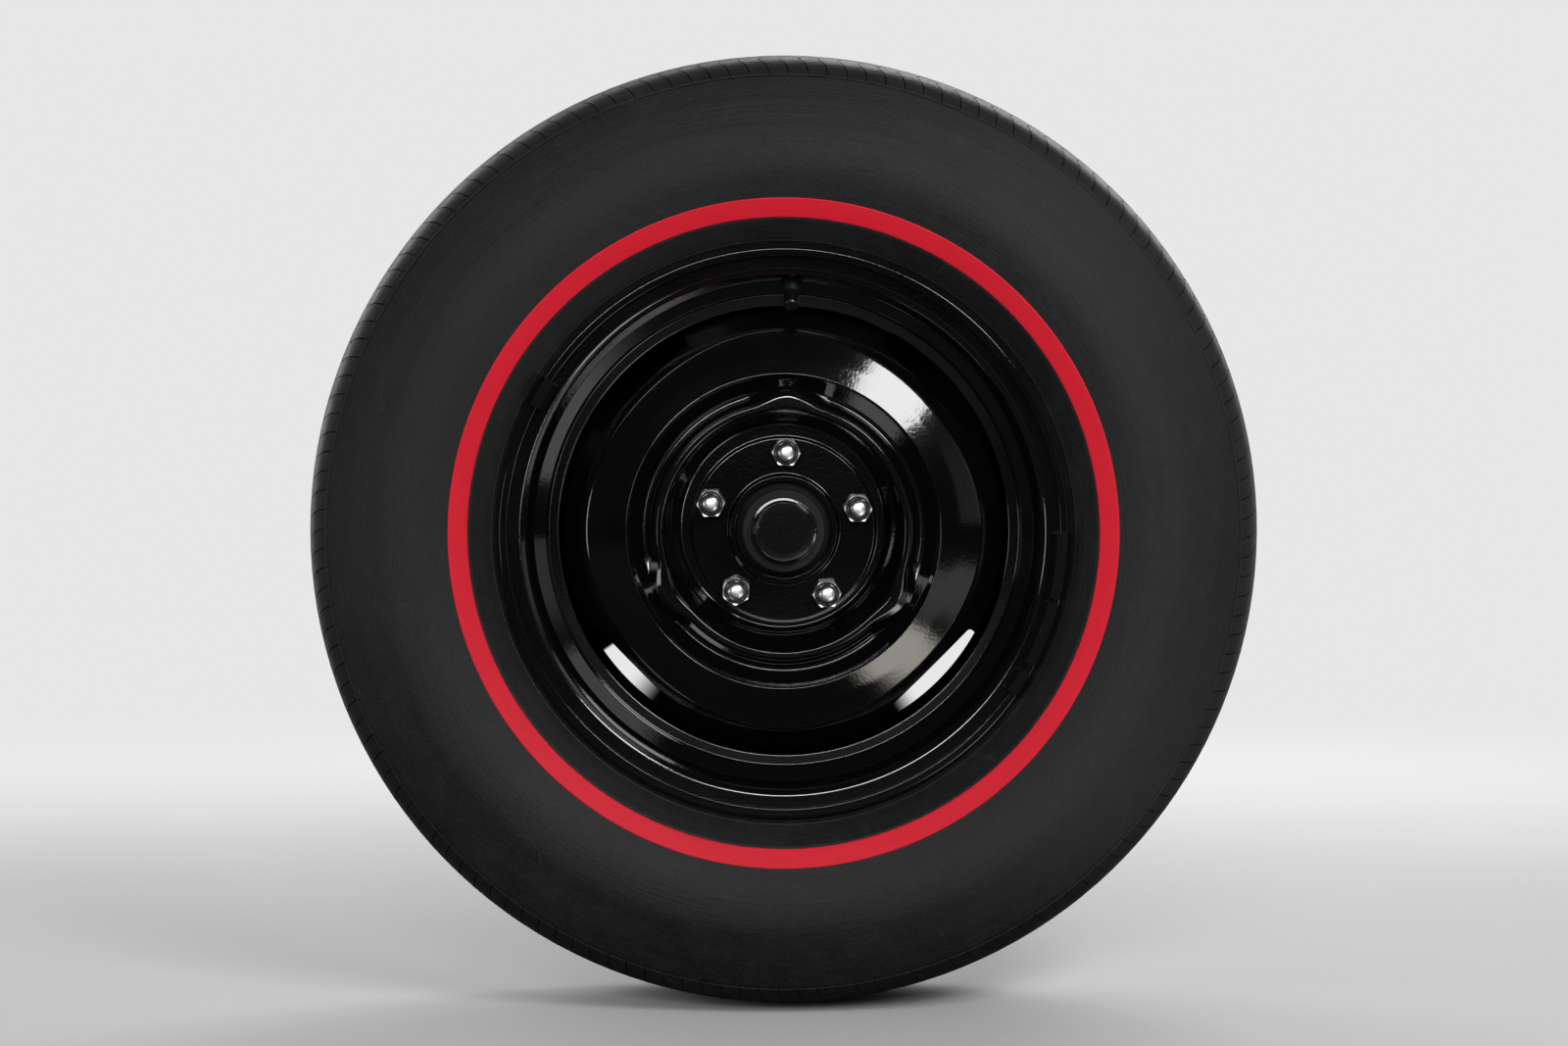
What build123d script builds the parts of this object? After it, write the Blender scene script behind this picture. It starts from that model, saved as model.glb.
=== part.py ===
from build123d import *
from math import atan2, cos, degrees, hypot, radians, sin
import os

os.makedirs("parts", exist_ok=True)

# Front wheel end of a car: steel wheel and tyre on a drum hub, carried by a steering knuckle.
# Millimetres. Outboard is -Y, up is +Z, and the origin is the knuckle's lower ball joint hole.
# A station is a distance along the axle, positive outboard of the wheel's mounting face.

# Ball joints, from the axle
lower_joint_drop = 95.0
lower_joint_inset = 142.0
upper_joint_rise = 150.0
upper_joint_inset = 165.0

# Rim, a drop centre rolled from sheet; distances from its middle, radii of the tyre side
rim_mid = -15.0
rim_sheet = 3.0
seat_radius = 190.1
seat_inner = 54.0
seat_taper = 1.4
flange_height = 17.4
flange_inside = 76.2
lip_reach = 87.5
lip_drop = 8.0
bend = 3.2
slope_foot = 45.0
ledge_drop = 12.6
ledge_inner = 39.0
well_edge = 32.0
well_drop = 21.9
valve_hole = 5.75

# Tyre; distances are from the rim's middle
tyre_radius = 350.0
tread_thick = 16.0
tread_half = 84.0
tyre_half = 111.8
wall_inside = 97.0
bead_width = 22.0
stripe_near = 99.0
stripe_far = 104.5
stripe_rise = 20.8
stripe_band = 13.5
stripe_depth = 0.8
stripe_proud = 0.5
shoulder_drop = 37.0
widest_rise = 22.0
# Grooves round the tread, as (from the middle, depth under the tyre's radius)
groove_table = [(17.75, 8.8), (49.25, 10.6)]
groove_width = 7.5

# Pressed wheel disc; places are (station, radius) on its front
disc_sheet = 4.0
disc_bore = 35.7
bore_lip = 12.0
pad_edge = 67.0
pad_toe = (9.0, 74.0)
ridge_in = (36.5, 86.5)
ridge_out = (36.5, 95.5)
ridge_round = (2.0, 2.5)
moat_in = (27.0, 101.5)
moat_out = (27.0, 107.5)
crest = (41.5, 116.0)
skirt_end = -28.0
nub_count = 3
nub_ring = 78.0
nub_top_radius = 24.0
nub_foot_radius = 32.0
nub_turn = 88.3
window_count = 4
window_width = 94.0
window_reach = 36.0
window_depth = 17.2
window_corner = 3.0
window_turn = 44.7

# Wheel fastening
lug_count = 5
bolt_circle = 114.3
lug_turn = 88.1
lug_hole = 8.0
stud_radius = 5.55
stud_head_radius = 8.5
stud_head = 3.0
nut_flats = 19.0
nut_seat = 2.0
nut_seat_radius = 9.4
nut_base = 7.0
nut_face = 22.0
nut_dome = 7.6
nut_top = 27.5

# Hub and drum
drum_face = 6.0
drum_bore = 35.7
hub_flange = 10.0
hub_flange_radius = 74.0
pilot_radius = 35.5
pilot_end = 5.0
barrel_radius = 30.3
barrel_end = 32.0
hub_back_radius = 38.0
hub_back = -62.0
cavity_radius = 19.5
drum_radius = 127.0
drum_wall = 7.0
drum_end = -70.0
drum_lip_rise = 4.5
drum_lip_width = 7.0
fin_height = 3.0
fin_stations = [-24.0, -36.0, -48.0]
fin_width = 4.0

# Bearings and spindle
outer_cup = 22.6
outer_journal = 9.53
outer_race = (20.0, 2.0)
inner_cup = 25.0
inner_journal = 15.9
inner_race = (-38.0, -56.0)
journal_play = 0.03
spindle_root = 19.0
spindle_end = 40.0
thread_radius = 9.2
washer_radius = 16.0
washer_thick = 3.0
axle_nut_flats = 26.0
axle_nut_thick = 11.0
end_play = 0.3

# Dust cap
cap_radius = 21.5
cap_sheet = 1.2
cap_seat = 24.0
cap_top = 54.0
cap_flange = 24.6

# Backing plate
plate_sheet = 2.5
plate_centre = -80.0
plate_face = -77.0
plate_lip_clear = 6.3
plate_lip_end = -66.0
plate_hole = 30.0
plate_bolt_ring = 36.0
plate_bolt_radius = 4.8
plate_bolt_head = 6.0
plate_bolt_flats = 14.4
hose_spot = (30.0, 100.0)
bleed_spot = (-30.0, 100.0)
plug_spot = (62.0, -82.0)
plug_lean = -37.0
plug_slot = (26.0, 11.0)
ledge_ring = 111.0
ledge_count = 6
ledge_pad = (9.0, 20.0, 3.5)
ledge_press = 1.6

# Knuckle forging
knuckle_flange = 46.0
knuckle_back = -103.0
knuckle_half = 16.5
lower_eye = 21.0
upper_eye = 19.0
eye_length = 26.0
lower_bore = 9.5
upper_bore = 8.2
eye_clear = 19.0

# Steering arm
arm_plate = 12.0
arm_pad = (26.0, 76.0, 8.0)
arm_pad_shift = 5.0
arm_eye_x = 152.0
arm_eye_station = -150.0
arm_eye_height = -72.0
arm_eye = 15.5
arm_bore = 7.4
arm_eye_length = 22.0
arm_corner = 4.0


def place(angle, radius, s):
    turn = radians(angle)
    return (radius * cos(turn), -s - lower_joint_inset, lower_joint_drop + radius * sin(turn))


def station(s):
    # Across the axle, seen from outboard: x right, y up
    return Plane(origin=place(0, 0, s), x_dir=(1, 0, 0), z_dir=(0, -1, 0))


def half_section(angle=90.0):
    # Through the axle: x is the station and y the radius
    turn = radians(angle)
    return Plane(origin=place(0, 0, 0), x_dir=(0, -1, 0), z_dir=(-sin(turn), 0, cos(turn)))


def from_rim(spot, side=1):
    return (rim_mid + side * spot[0], spot[1])


def sheet(line, thick):
    # Outline of bent sheet: the line, and its copy set off to the left of its run
    lefts = []
    for a, b in zip(line, line[1:]):
        length = hypot(b[0] - a[0], b[1] - a[1])
        lefts.append(((a[1] - b[1]) / length, (b[0] - a[0]) / length))
    lefts = [lefts[0], *lefts, lefts[-1]]
    far = []
    for spot, before, after in zip(line, lefts, lefts[1:]):
        reach = thick / (1 + before[0] * after[0] + before[1] * after[1])
        far.append((spot[0] + reach * (before[0] + after[0]), spot[1] + reach * (before[1] + after[1])))
    return line + far[::-1]


spin_axis = Axis(place(0, 0, 0), (0, -1, 0))
side_view = half_section()
section = half_section(180.0)


# Rim: lip, flange, bead seat, slope, ledge and well on the tyre's side, alike on both sides
seat_foot = seat_radius - seat_taper
flange_top = seat_radius + flange_height
lip_tip = flange_top - lip_drop
ledge_radius = seat_radius - ledge_drop
well_radius = seat_radius - well_drop
rim_half = [
    (lip_reach, lip_tip),
    (lip_reach, flange_top - bend),
    (lip_reach - bend, flange_top),
    (flange_inside + bend, flange_top),
    (flange_inside, flange_top - bend),
    (flange_inside, seat_radius + 2.0),
    (flange_inside - 2.0, seat_radius),
    (seat_inner, seat_foot),
    (slope_foot, ledge_radius),
    (ledge_inner, ledge_radius),
    (well_edge, well_radius),
]
rim_line = [from_rim(p) for p in rim_half] + [from_rim(p, -1) for p in rim_half[::-1]]

# The valve stands square to the slope between the bead seat and the ledge
slope = (seat_inner - slope_foot, seat_foot - ledge_radius)
slope_length = hypot(slope[0], slope[1])
valve_in = slope[0] / slope_length
valve_out = slope[1] / slope_length
half_rim = rim_sheet / 2
valve_spot = from_rim(
    (
        (seat_inner + slope_foot) / 2 + half_rim * valve_out,
        (seat_foot + ledge_radius) / 2 - half_rim * valve_in,
    )
)
valve_angle = radians(lug_turn)
valve_plane = Plane(
    origin=place(lug_turn, valve_spot[1], valve_spot[0]),
    x_dir=(-sin(valve_angle), 0, cos(valve_angle)),
    z_dir=(-valve_in * cos(valve_angle), -valve_out, -valve_in * sin(valve_angle)),
)

with BuildPart() as rim:
    with BuildSketch(section):
        with BuildLine():
            Polyline(*sheet(rim_line, rim_sheet), close=True)
        make_face()
    revolve(axis=spin_axis)
    with BuildSketch(valve_plane.offset(-8)):
        Circle(valve_hole)
    extrude(amount=16, mode=Mode.SUBTRACT)
rim.part.label = "rim"
export_step(rim.part, "parts/rim.step")


# Tyre: half the casing outside and inside, mirrored, with a groove for the stripe
stripe_foot = flange_top + stripe_rise
stripe_top = stripe_foot + stripe_band
stripe_width = hypot(stripe_far - stripe_near, stripe_band)
stripe_lean = degrees(atan2(stripe_band, stripe_far - stripe_near))
stripe_mid = from_rim(((stripe_near + stripe_far) / 2, (stripe_foot + stripe_top) / 2))
stripe_seat = Location(stripe_mid + (0,), (0, 0, stripe_lean))
shoulder = tyre_radius - shoulder_drop
widest = stripe_top + widest_rise
# Half the casing, from the crown round the outside to the bead, and from the bead's toe back inside
casing_half = [
    (0, tyre_radius),
    (tread_half * 0.6, tyre_radius - 2.8),
    (tread_half, tyre_radius - 8.5),
    (tread_half + 13.0, tyre_radius - 19.5),
    (tyre_half - 8.3, shoulder),
    (tyre_half - 0.3, (shoulder + widest) / 2),
    (tyre_half, widest),
    (stripe_far, stripe_top),
    (stripe_near, stripe_foot),
    (flange_inside + 13.3, flange_top + 9.5),
    (flange_inside + bend, flange_top + 3.0),
    (flange_inside, flange_top - bend),
    (flange_inside, seat_radius + 2.0),
    (flange_inside - 2.0, seat_radius),
    (flange_inside - bead_width, seat_radius),
    (flange_inside - bead_width + 7.8, flange_top - 0.5),
    (wall_inside, stripe_top + 8.0),
    (wall_inside, shoulder - 22.0),
    (wall_inside - 17.0, tyre_radius - tread_thick - 9.0),
    (0, tyre_radius - tread_thick),
]

with BuildPart() as tyre:
    with BuildSketch(section):
        with BuildLine():
            Polyline(*[from_rim(p) for p in casing_half], close=True)
        make_face()
        mirror(about=Plane.YZ.offset(rim_mid))
        for groove_spot, groove_foot in groove_table:
            with Locations((rim_mid + groove_spot, tyre_radius), (rim_mid - groove_spot, tyre_radius)):
                Rectangle(groove_width, 2 * groove_foot, mode=Mode.SUBTRACT)
    revolve(axis=spin_axis)
    with BuildSketch(section):
        with Locations(stripe_seat):
            Rectangle(stripe_width, 2 * stripe_depth)
    revolve(axis=spin_axis, mode=Mode.SUBTRACT)
tyre.part.label = "tyre"
export_step(tyre.part, "parts/tyre.step")

with BuildPart() as red_stripe:
    with BuildSketch(section):
        with Locations(stripe_seat):
            with Locations((0, (stripe_depth - stripe_proud) / 2)):
                Rectangle(stripe_width, stripe_depth + stripe_proud)
    revolve(axis=spin_axis)
red_stripe.part.label = "red_stripe"
export_step(red_stripe.part, "parts/red_stripe.step")


# Wheel disc: pad, ridge with the cap nubs, moat, crown, and the skirt that the rim takes
skirt = well_radius - rim_sheet
# Crown, as (share of the way out from the crest to the skirt, drop below the crest)
crown_table = [(0.15, 1.2), (0.38, 4.8), (0.60, 8.6), (0.71, 13.2), (0.82, 20.8), (0.92, 28.0), (1.0, 37.5)]
crown = [(crest[0] - drop, crest[1] + share * (skirt - crest[1])) for share, drop in crown_table]
disc_line = [
    (bore_lip, disc_bore + disc_sheet),
    (disc_sheet + 1.5, disc_bore + disc_sheet),
    (disc_sheet, disc_bore + disc_sheet + 2.0),
    (disc_sheet, pad_edge),
    pad_toe,
    ridge_in,
    (ridge_in[0] + ridge_round[0], ridge_in[1] + ridge_round[1]),
    (ridge_out[0] + ridge_round[0], ridge_out[1] - ridge_round[1]),
    ridge_out,
    moat_in,
    moat_out,
    (crest[0] - 4.0, crest[1] - 4.5),
    crest,
    *crown,
    (skirt_end, skirt),
]

# A nub is a round swelling of the ridge, outside the middle of its top, and hollow behind.
# Both cones stand about the axle, as (drop of the cone, its radius less)
ridge_top = ridge_in[0] + ridge_round[0]
ridge_middle = (ridge_in[1] + ridge_out[1]) / 2
nub_shapes = []
for nub_drop, nub_less in [(0, 0), (disc_sheet, disc_sheet / 2)]:
    with BuildPart(Plane.XY.offset(moat_in[0] - nub_drop)) as nub:
        with Locations((nub_ring, 0)):
            Cone(
                nub_foot_radius - nub_less,
                nub_top_radius - nub_less,
                ridge_top - moat_in[0],
                align=(Align.CENTER, Align.CENTER, Align.MIN),
            )
        Cylinder(ridge_middle, 2 * ridge_top, mode=Mode.SUBTRACT)
    nub_shapes.append(nub.part)

with BuildPart() as nut_cone:
    with BuildSketch(Plane.XY.offset(nut_seat)):
        Circle(lug_hole)
    with BuildSketch(Plane.XY.offset(nut_base)):
        Circle(nut_seat_radius)
    loft(ruled=True)

with BuildPart(station(0)) as wheel_disc:
    with BuildSketch(section):
        with BuildLine():
            Polyline(*sheet(disc_line, disc_sheet), close=True)
        make_face()
    revolve(axis=spin_axis)
    with PolarLocations(0, nub_count, start_angle=nub_turn):
        add(nub_shapes[0])
        add(nub_shapes[1], mode=Mode.SUBTRACT)
    with BuildSketch(station(0)):
        with PolarLocations(bolt_circle / 2, lug_count, start_angle=lug_turn):
            Circle(lug_hole)
    extrude(amount=disc_sheet + 1, mode=Mode.SUBTRACT)
    with PolarLocations(bolt_circle / 2, lug_count, start_angle=lug_turn):
        add(nut_cone.part, mode=Mode.SUBTRACT)
    with BuildSketch(station(skirt_end - 1)):
        with PolarLocations(skirt - window_depth + window_reach, window_count, start_angle=window_turn):
            RectangleRounded(2 * window_reach, window_width, window_corner)
    extrude(amount=80, mode=Mode.SUBTRACT)
wheel_disc.part.label = "wheel_disc"
export_step(wheel_disc.part, "parts/wheel_disc.step")


# Valve: rubber stem snapped into the rim, with its cap
stem_line = [
    (0, -9.0),
    (7.0, -9.0),
    (7.0, -half_rim - 1.4),
    (6.3, -half_rim - 0.2),
    (valve_hole, -half_rim - 0.2),
    (valve_hole, half_rim + 0.2),
    (7.0, half_rim + 1.2),
    (6.6, 9.0),
    (4.2, 13.0),
    (4.2, 20.0),
    (0, 20.0),
]
valve_cap_line = [
    (4.2, 14.0),
    (5.2, 14.0),
    (5.2, 27.0),
    (4.2, 28.2),
    (0, 28.2),
    (0, 20.0),
    (4.2, 20.0),
]
valve_section = Plane(origin=valve_plane.origin, x_dir=valve_plane.x_dir, z_dir=-valve_plane.y_dir)
valve_axis = Axis(valve_plane.origin, valve_plane.z_dir)

with BuildPart() as valve_stem:
    with BuildSketch(valve_section):
        with BuildLine():
            Polyline(*stem_line, close=True)
        make_face()
    revolve(axis=valve_axis)
valve_stem.part.label = "valve_stem"
export_step(valve_stem.part, "parts/valve_stem.step")

with BuildPart() as valve_cap:
    with BuildSketch(valve_section):
        with BuildLine():
            Polyline(*valve_cap_line, close=True)
        make_face()
    revolve(axis=valve_axis)
valve_cap.part.label = "valve_cap"
export_step(valve_cap.part, "parts/valve_cap.step")


# Balance weights clipped over the rim's outboard lip, as (name, start angle, sweep)
weight_arcs = [
    ("balance_weight_1", -13.6, 13.6),
    ("balance_weight_2", -28.0, 13.3),
    ("balance_weight_3", -35.0, 5.0),
    ("balance_weight_4", 147.0, 6.0),
]
weight_line = [
    (lip_reach - 6.5, lip_tip - 3.5),
    (lip_reach + 1.0, lip_tip - 5.0),
    (lip_reach + 4.5, lip_tip - 1.5),
    (lip_reach + 4.0, flange_top - 2.0),
    (lip_reach + 1.0, flange_top + 1.2),
    (lip_reach - 3.5, flange_top + 1.2),
    (lip_reach - 6.5, lip_tip + 3.5),
]

for weight_name, weight_start, weight_sweep in weight_arcs:
    with BuildPart() as balance_weight:
        with BuildSketch(half_section(weight_start)):
            with BuildLine():
                Polyline(*[from_rim(p) for p in weight_line], close=True)
            make_face()
        revolve(axis=spin_axis, revolution_arc=weight_sweep)
        add(rim.part, mode=Mode.SUBTRACT)
    balance_weight.part.label = weight_name
    export_step(balance_weight.part, "parts/" + weight_name + ".step")


# Lug nuts with a cone seat and a domed end, on studs pressed into the hub
nut_corner = nut_flats / 2 / cos(radians(30))
with BuildPart() as nut:
    with BuildSketch(Plane.XY.offset(nut_base)):
        RegularPolygon(nut_corner, 6)
    extrude(amount=nut_face - nut_base)
    with BuildSketch(Plane.XZ):
        with BuildLine():
            Polyline(
                (0, nut_base),
                (nut_corner + 1.0, nut_base),
                (nut_corner + 1.0, nut_face - 1.8),
                (nut_corner - 2.0, nut_face),
                (0, nut_face),
                close=True,
            )
        make_face()
    revolve(axis=Axis.Z, mode=Mode.INTERSECT)
    with BuildSketch(Plane.XZ):
        with BuildLine():
            Polyline(
                (0, nut_seat),
                (lug_hole, nut_seat),
                (nut_seat_radius, nut_base),
                (0, nut_base),
                close=True,
            )
        make_face()
    revolve(axis=Axis.Z)
    with BuildSketch(Plane.XZ):
        with BuildLine():
            TangentArc((0, nut_top), (nut_dome, nut_face), tangent=(1, 0))
            Polyline((nut_dome, nut_face), (0, nut_face), (0, nut_top))
        make_face()
    revolve(axis=Axis.Z)
    with BuildSketch(Plane.XY):
        Circle(stud_radius)
    extrude(amount=nut_face, mode=Mode.SUBTRACT)

with BuildPart(station(0)) as lug_nuts:
    with PolarLocations(bolt_circle / 2, lug_count, start_angle=lug_turn):
        add(nut.part)
lug_nuts.part.label = "lug_nuts"
export_step(lug_nuts.part, "parts/lug_nuts.step")

flange_back = -drum_face - hub_flange
with BuildPart() as wheel_studs:
    with BuildSketch(station(flange_back)):
        with PolarLocations(bolt_circle / 2, lug_count, start_angle=lug_turn):
            Circle(stud_radius)
    extrude(amount=nut_face - 1.0 - flange_back)
    with BuildSketch(station(flange_back - stud_head)):
        with PolarLocations(bolt_circle / 2, lug_count, start_angle=lug_turn):
            Circle(stud_head_radius)
    extrude(amount=stud_head)
wheel_studs.part.label = "wheel_studs"
export_step(wheel_studs.part, "parts/wheel_studs.step")


# Hub: barrel, pilot, flange and bearing housings
hub_outside = [
    (hub_back, inner_cup + 7.0),
    (flange_back - 6.0, hub_back_radius),
    (flange_back, hub_back_radius + 8.0),
    (flange_back, hub_flange_radius),
    (-drum_face, hub_flange_radius),
    (-drum_face, pilot_radius),
    (pilot_end, pilot_radius),
    (pilot_end + 5.0, barrel_radius),
    (barrel_end, barrel_radius),
]
hub_inside = [
    (barrel_end, outer_cup),
    (outer_race[1], outer_cup),
    (outer_race[1], cavity_radius),
    (inner_race[0], cavity_radius),
    (inner_race[0], inner_cup),
    (hub_back, inner_cup),
]
with BuildPart() as hub:
    with BuildSketch(section):
        with BuildLine():
            Polyline(*hub_outside, *hub_inside, close=True)
        make_face()
    revolve(axis=spin_axis)
    with BuildSketch(station(flange_back)):
        with PolarLocations(bolt_circle / 2, lug_count, start_angle=lug_turn):
            Circle(stud_radius)
    extrude(amount=hub_flange, mode=Mode.SUBTRACT)
hub.part.label = "hub"
export_step(hub.part, "parts/hub.step")

# Races, as (name, bore radius, cup radius, outboard and inboard stations)
races = [
    ("outer_bearing", outer_journal + journal_play, outer_cup, outer_race),
    ("inner_bearing", inner_journal + journal_play, inner_cup, inner_race),
]
for race_name, race_bore, race_cup, race_ends in races:
    with BuildPart() as bearing:
        with BuildSketch(station(race_ends[1])):
            Circle(race_cup)
            Circle(race_bore, mode=Mode.SUBTRACT)
        extrude(amount=race_ends[0] - race_ends[1])
    bearing.part.label = race_name
    export_step(bearing.part, "parts/" + race_name + ".step")


# Drum: face, wall with cooling fins, and the stiffened open edge
drum_outer = drum_radius + drum_wall
drum_lip = drum_outer + drum_lip_rise
drum_line = [
    (0, drum_bore),
    (0, drum_radius - 6.0),
    (-8.0, drum_outer),
    (drum_end + drum_lip_width, drum_outer),
    (drum_end + drum_lip_width, drum_lip),
    (drum_end, drum_lip),
    (drum_end, drum_radius),
    (-drum_face - 6.0, drum_radius),
    (-drum_face, drum_radius - 8.0),
    (-drum_face, drum_bore),
]
with BuildPart() as brake_drum:
    with BuildSketch(section):
        with BuildLine():
            Polyline(*drum_line, close=True)
        make_face()
        for fin_station in fin_stations:
            with Locations((fin_station, drum_outer)):
                Rectangle(fin_width, 2 * fin_height)
    revolve(axis=spin_axis)
    with BuildSketch(station(-drum_face)):
        with PolarLocations(bolt_circle / 2, lug_count, start_angle=lug_turn):
            Circle(stud_radius)
    extrude(amount=drum_face, mode=Mode.SUBTRACT)
brake_drum.part.label = "brake_drum"
export_step(brake_drum.part, "parts/brake_drum.step")


# Dust cap: pressed into the barrel, with a collar and a low domed end
cap_line = [
    (cap_seat, outer_cup),
    (barrel_end, outer_cup),
    (barrel_end, cap_flange),
    (barrel_end + 1.6, cap_flange),
    (barrel_end + 1.6, cap_radius),
    (cap_top - 5.0, cap_radius),
    (cap_top - 1.7, cap_radius - 2.2),
    (cap_top - 0.6, cap_radius - 6.5),
    (cap_top, 0),
]
cap_inside = [
    (cap_top - cap_sheet, 0),
    (cap_top - cap_sheet, 12.0),
    (cap_top - 5.0, cap_radius - cap_sheet),
    (cap_seat, cap_radius - cap_sheet),
]
with BuildPart() as dust_cap:
    with BuildSketch(section):
        with BuildLine():
            Polyline(*cap_line, *cap_inside, close=True)
        make_face()
    revolve(axis=spin_axis)
dust_cap.part.label = "dust_cap"
export_step(dust_cap.part, "parts/dust_cap.step")


# Backing plate: pressed, with a lip around the drum's open edge and six dents the shoes slide on
plate_lip = drum_lip + plate_lip_clear
plate_rear = plate_face - plate_sheet
plate_line = [
    (plate_centre, plate_hole),
    (plate_centre, 60.0),
    (plate_face, 66.0),
    (plate_face, 126.0),
    (plate_face - 3.0, 134.0),
    (plate_face - 3.0, plate_lip - 3.0),
    (plate_face, plate_lip),
    (plate_lip_end, plate_lip),
]
with BuildPart() as backing_plate:
    with BuildSketch(section):
        with BuildLine():
            Polyline(*sheet(plate_line, plate_sheet), close=True)
        make_face()
    revolve(axis=spin_axis)
    with BuildSketch(station(plate_centre - plate_sheet)):
        with PolarLocations(plate_bolt_ring, 4, start_angle=45):
            Circle(plate_bolt_radius)
    extrude(amount=plate_sheet, mode=Mode.SUBTRACT)
    with BuildSketch(station(plate_face)):
        with PolarLocations(ledge_ring, ledge_count):
            RectangleRounded(*ledge_pad)
    extrude(amount=ledge_press)
    with BuildSketch(station(plate_rear)):
        with PolarLocations(ledge_ring, ledge_count):
            RectangleRounded(*ledge_pad)
    extrude(amount=ledge_press, mode=Mode.SUBTRACT)
backing_plate.part.label = "backing_plate"
export_step(backing_plate.part, "parts/backing_plate.step")


# Knuckle: flange, upright with the two ball joint eyes, and the spindle
upper_joint = (0, upper_joint_inset - lower_joint_inset, lower_joint_drop + upper_joint_rise)
steer_length = hypot(upper_joint[1], upper_joint[2])
steer_dir = (0, upper_joint[1] / steer_length, upper_joint[2] / steer_length)
lower_plane = Plane(origin=(0, 0, 0), x_dir=(1, 0, 0), z_dir=steer_dir)
upper_plane = Plane(origin=upper_joint, x_dir=(1, 0, 0), z_dir=steer_dir)
plate_back = plate_centre - plate_sheet
# Upright's side outline, as (station, height above the axle); it stays clear of the eyes' inner ends
upright_line = [
    (plate_back, -40.0),
    (plate_back, 40.0),
    (-88.0, 84.0),
    (-112.0, 124.0),
    (-upper_joint_inset + 14.0, upper_joint_rise + 11.0),
    (-upper_joint_inset, upper_joint_rise - 10.0),
    (-upper_joint_inset + eye_clear, upper_joint_rise - 13.0),
    (-132.0, 108.0),
    (-110.0, 72.0),
    (-106.0, 20.0),
    (-106.0, -24.0),
    (-112.0, -58.0),
    (-lower_joint_inset + eye_clear, -lower_joint_drop + 11.0),
    (-lower_joint_inset, -lower_joint_drop + 9.0),
    (-lower_joint_inset + 16.0, -lower_joint_drop - 12.0),
    (-112.0, -92.0),
    (-92.0, -66.0),
]
# Upright's front outline, as (height above the axle, half width)
upright_widths = [
    (-lower_joint_drop - 16.0, knuckle_half - 4.5),
    (-lower_joint_drop + 8.0, knuckle_half + 1.0),
    (-70.0, knuckle_half - 2.5),
    (-46.0, knuckle_half),
    (46.0, knuckle_half),
    (80.0, knuckle_half - 2.0),
    (118.0, knuckle_half - 4.5),
    (upper_joint_rise - 8.0, knuckle_half - 1.0),
    (upper_joint_rise + 16.0, knuckle_half - 4.5),
]
upright_front = [(x, z) for z, x in upright_widths] + [(-x, z) for z, x in upright_widths[::-1]]
spindle_line = [
    (knuckle_back, 0),
    (knuckle_back, spindle_root),
    (hub_back + 2.0, spindle_root),
    (inner_race[1] - end_play, inner_journal + 2.6),
    (inner_race[1] - end_play, inner_journal),
    (inner_race[0] + 2.0, inner_journal),
    (outer_race[1] - 2.0, outer_journal),
    (outer_race[0] + end_play, outer_journal),
    (outer_race[0] + end_play, thread_radius),
    (spindle_end - 1.5, thread_radius),
    (spindle_end, thread_radius - 1.5),
    (spindle_end, 0),
]
with BuildPart() as steering_knuckle:
    with BuildSketch(side_view):
        with BuildLine():
            FilletPolyline(*upright_line, radius=4.0, close=True)
        make_face()
    extrude(amount=knuckle_half + 2.0, both=True)
    with BuildSketch(station(-upper_joint_inset - upper_eye)):
        with BuildLine():
            FilletPolyline(*upright_front, radius=7.0, close=True)
        make_face()
    extrude(amount=upper_joint_inset + upper_eye, mode=Mode.INTERSECT)
    with BuildSketch(station(knuckle_back)):
        Circle(knuckle_flange)
    extrude(amount=plate_back - knuckle_back)
    with BuildSketch(section):
        with BuildLine():
            Polyline(*spindle_line, close=True)
        make_face()
    revolve(axis=spin_axis)
    with BuildSketch(station(plate_back)):
        Circle(plate_hole - 0.2)
    extrude(amount=plate_sheet)
    with BuildSketch(lower_plane):
        Circle(lower_eye)
    extrude(amount=eye_length / 2, both=True)
    with BuildSketch(upper_plane):
        Circle(upper_eye)
    extrude(amount=eye_length / 2, both=True)
    with BuildSketch(lower_plane):
        Circle(lower_bore)
    extrude(amount=eye_length, both=True, mode=Mode.SUBTRACT)
    with BuildSketch(upper_plane):
        Circle(upper_bore)
    extrude(amount=eye_length, both=True, mode=Mode.SUBTRACT)
    with BuildSketch(station(knuckle_back)):
        with PolarLocations(plate_bolt_ring, 4, start_angle=45):
            Circle(plate_bolt_radius)
    extrude(amount=plate_back - knuckle_back, mode=Mode.SUBTRACT)
steering_knuckle.part.label = "steering_knuckle"
export_step(steering_knuckle.part, "parts/steering_knuckle.step")


# Spindle washer and nut inside the dust cap
washer_foot = outer_race[0] + end_play
nut_foot = washer_foot + washer_thick
with BuildPart() as spindle_nut:
    with BuildSketch(station(washer_foot)):
        Circle(washer_radius)
    extrude(amount=washer_thick)
    with BuildSketch(station(nut_foot)):
        RegularPolygon(axle_nut_flats / 2, 6, major_radius=False)
    extrude(amount=axle_nut_thick)
    with BuildSketch(station(washer_foot)):
        Circle(thread_radius)
    extrude(amount=washer_thick + axle_nut_thick, mode=Mode.SUBTRACT)
spindle_nut.part.label = "spindle_nut"
export_step(spindle_nut.part, "parts/spindle_nut.step")


# Steering arm: a pad behind the knuckle flange and an arm out to the tie rod eye
arm_back = knuckle_back - arm_plate
bolt_x = plate_bolt_ring * cos(radians(45))


def arm_spot(x, s, height):
    # From the axle: across, station and height
    return (x, -s - lower_joint_inset, lower_joint_drop + height)


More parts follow.
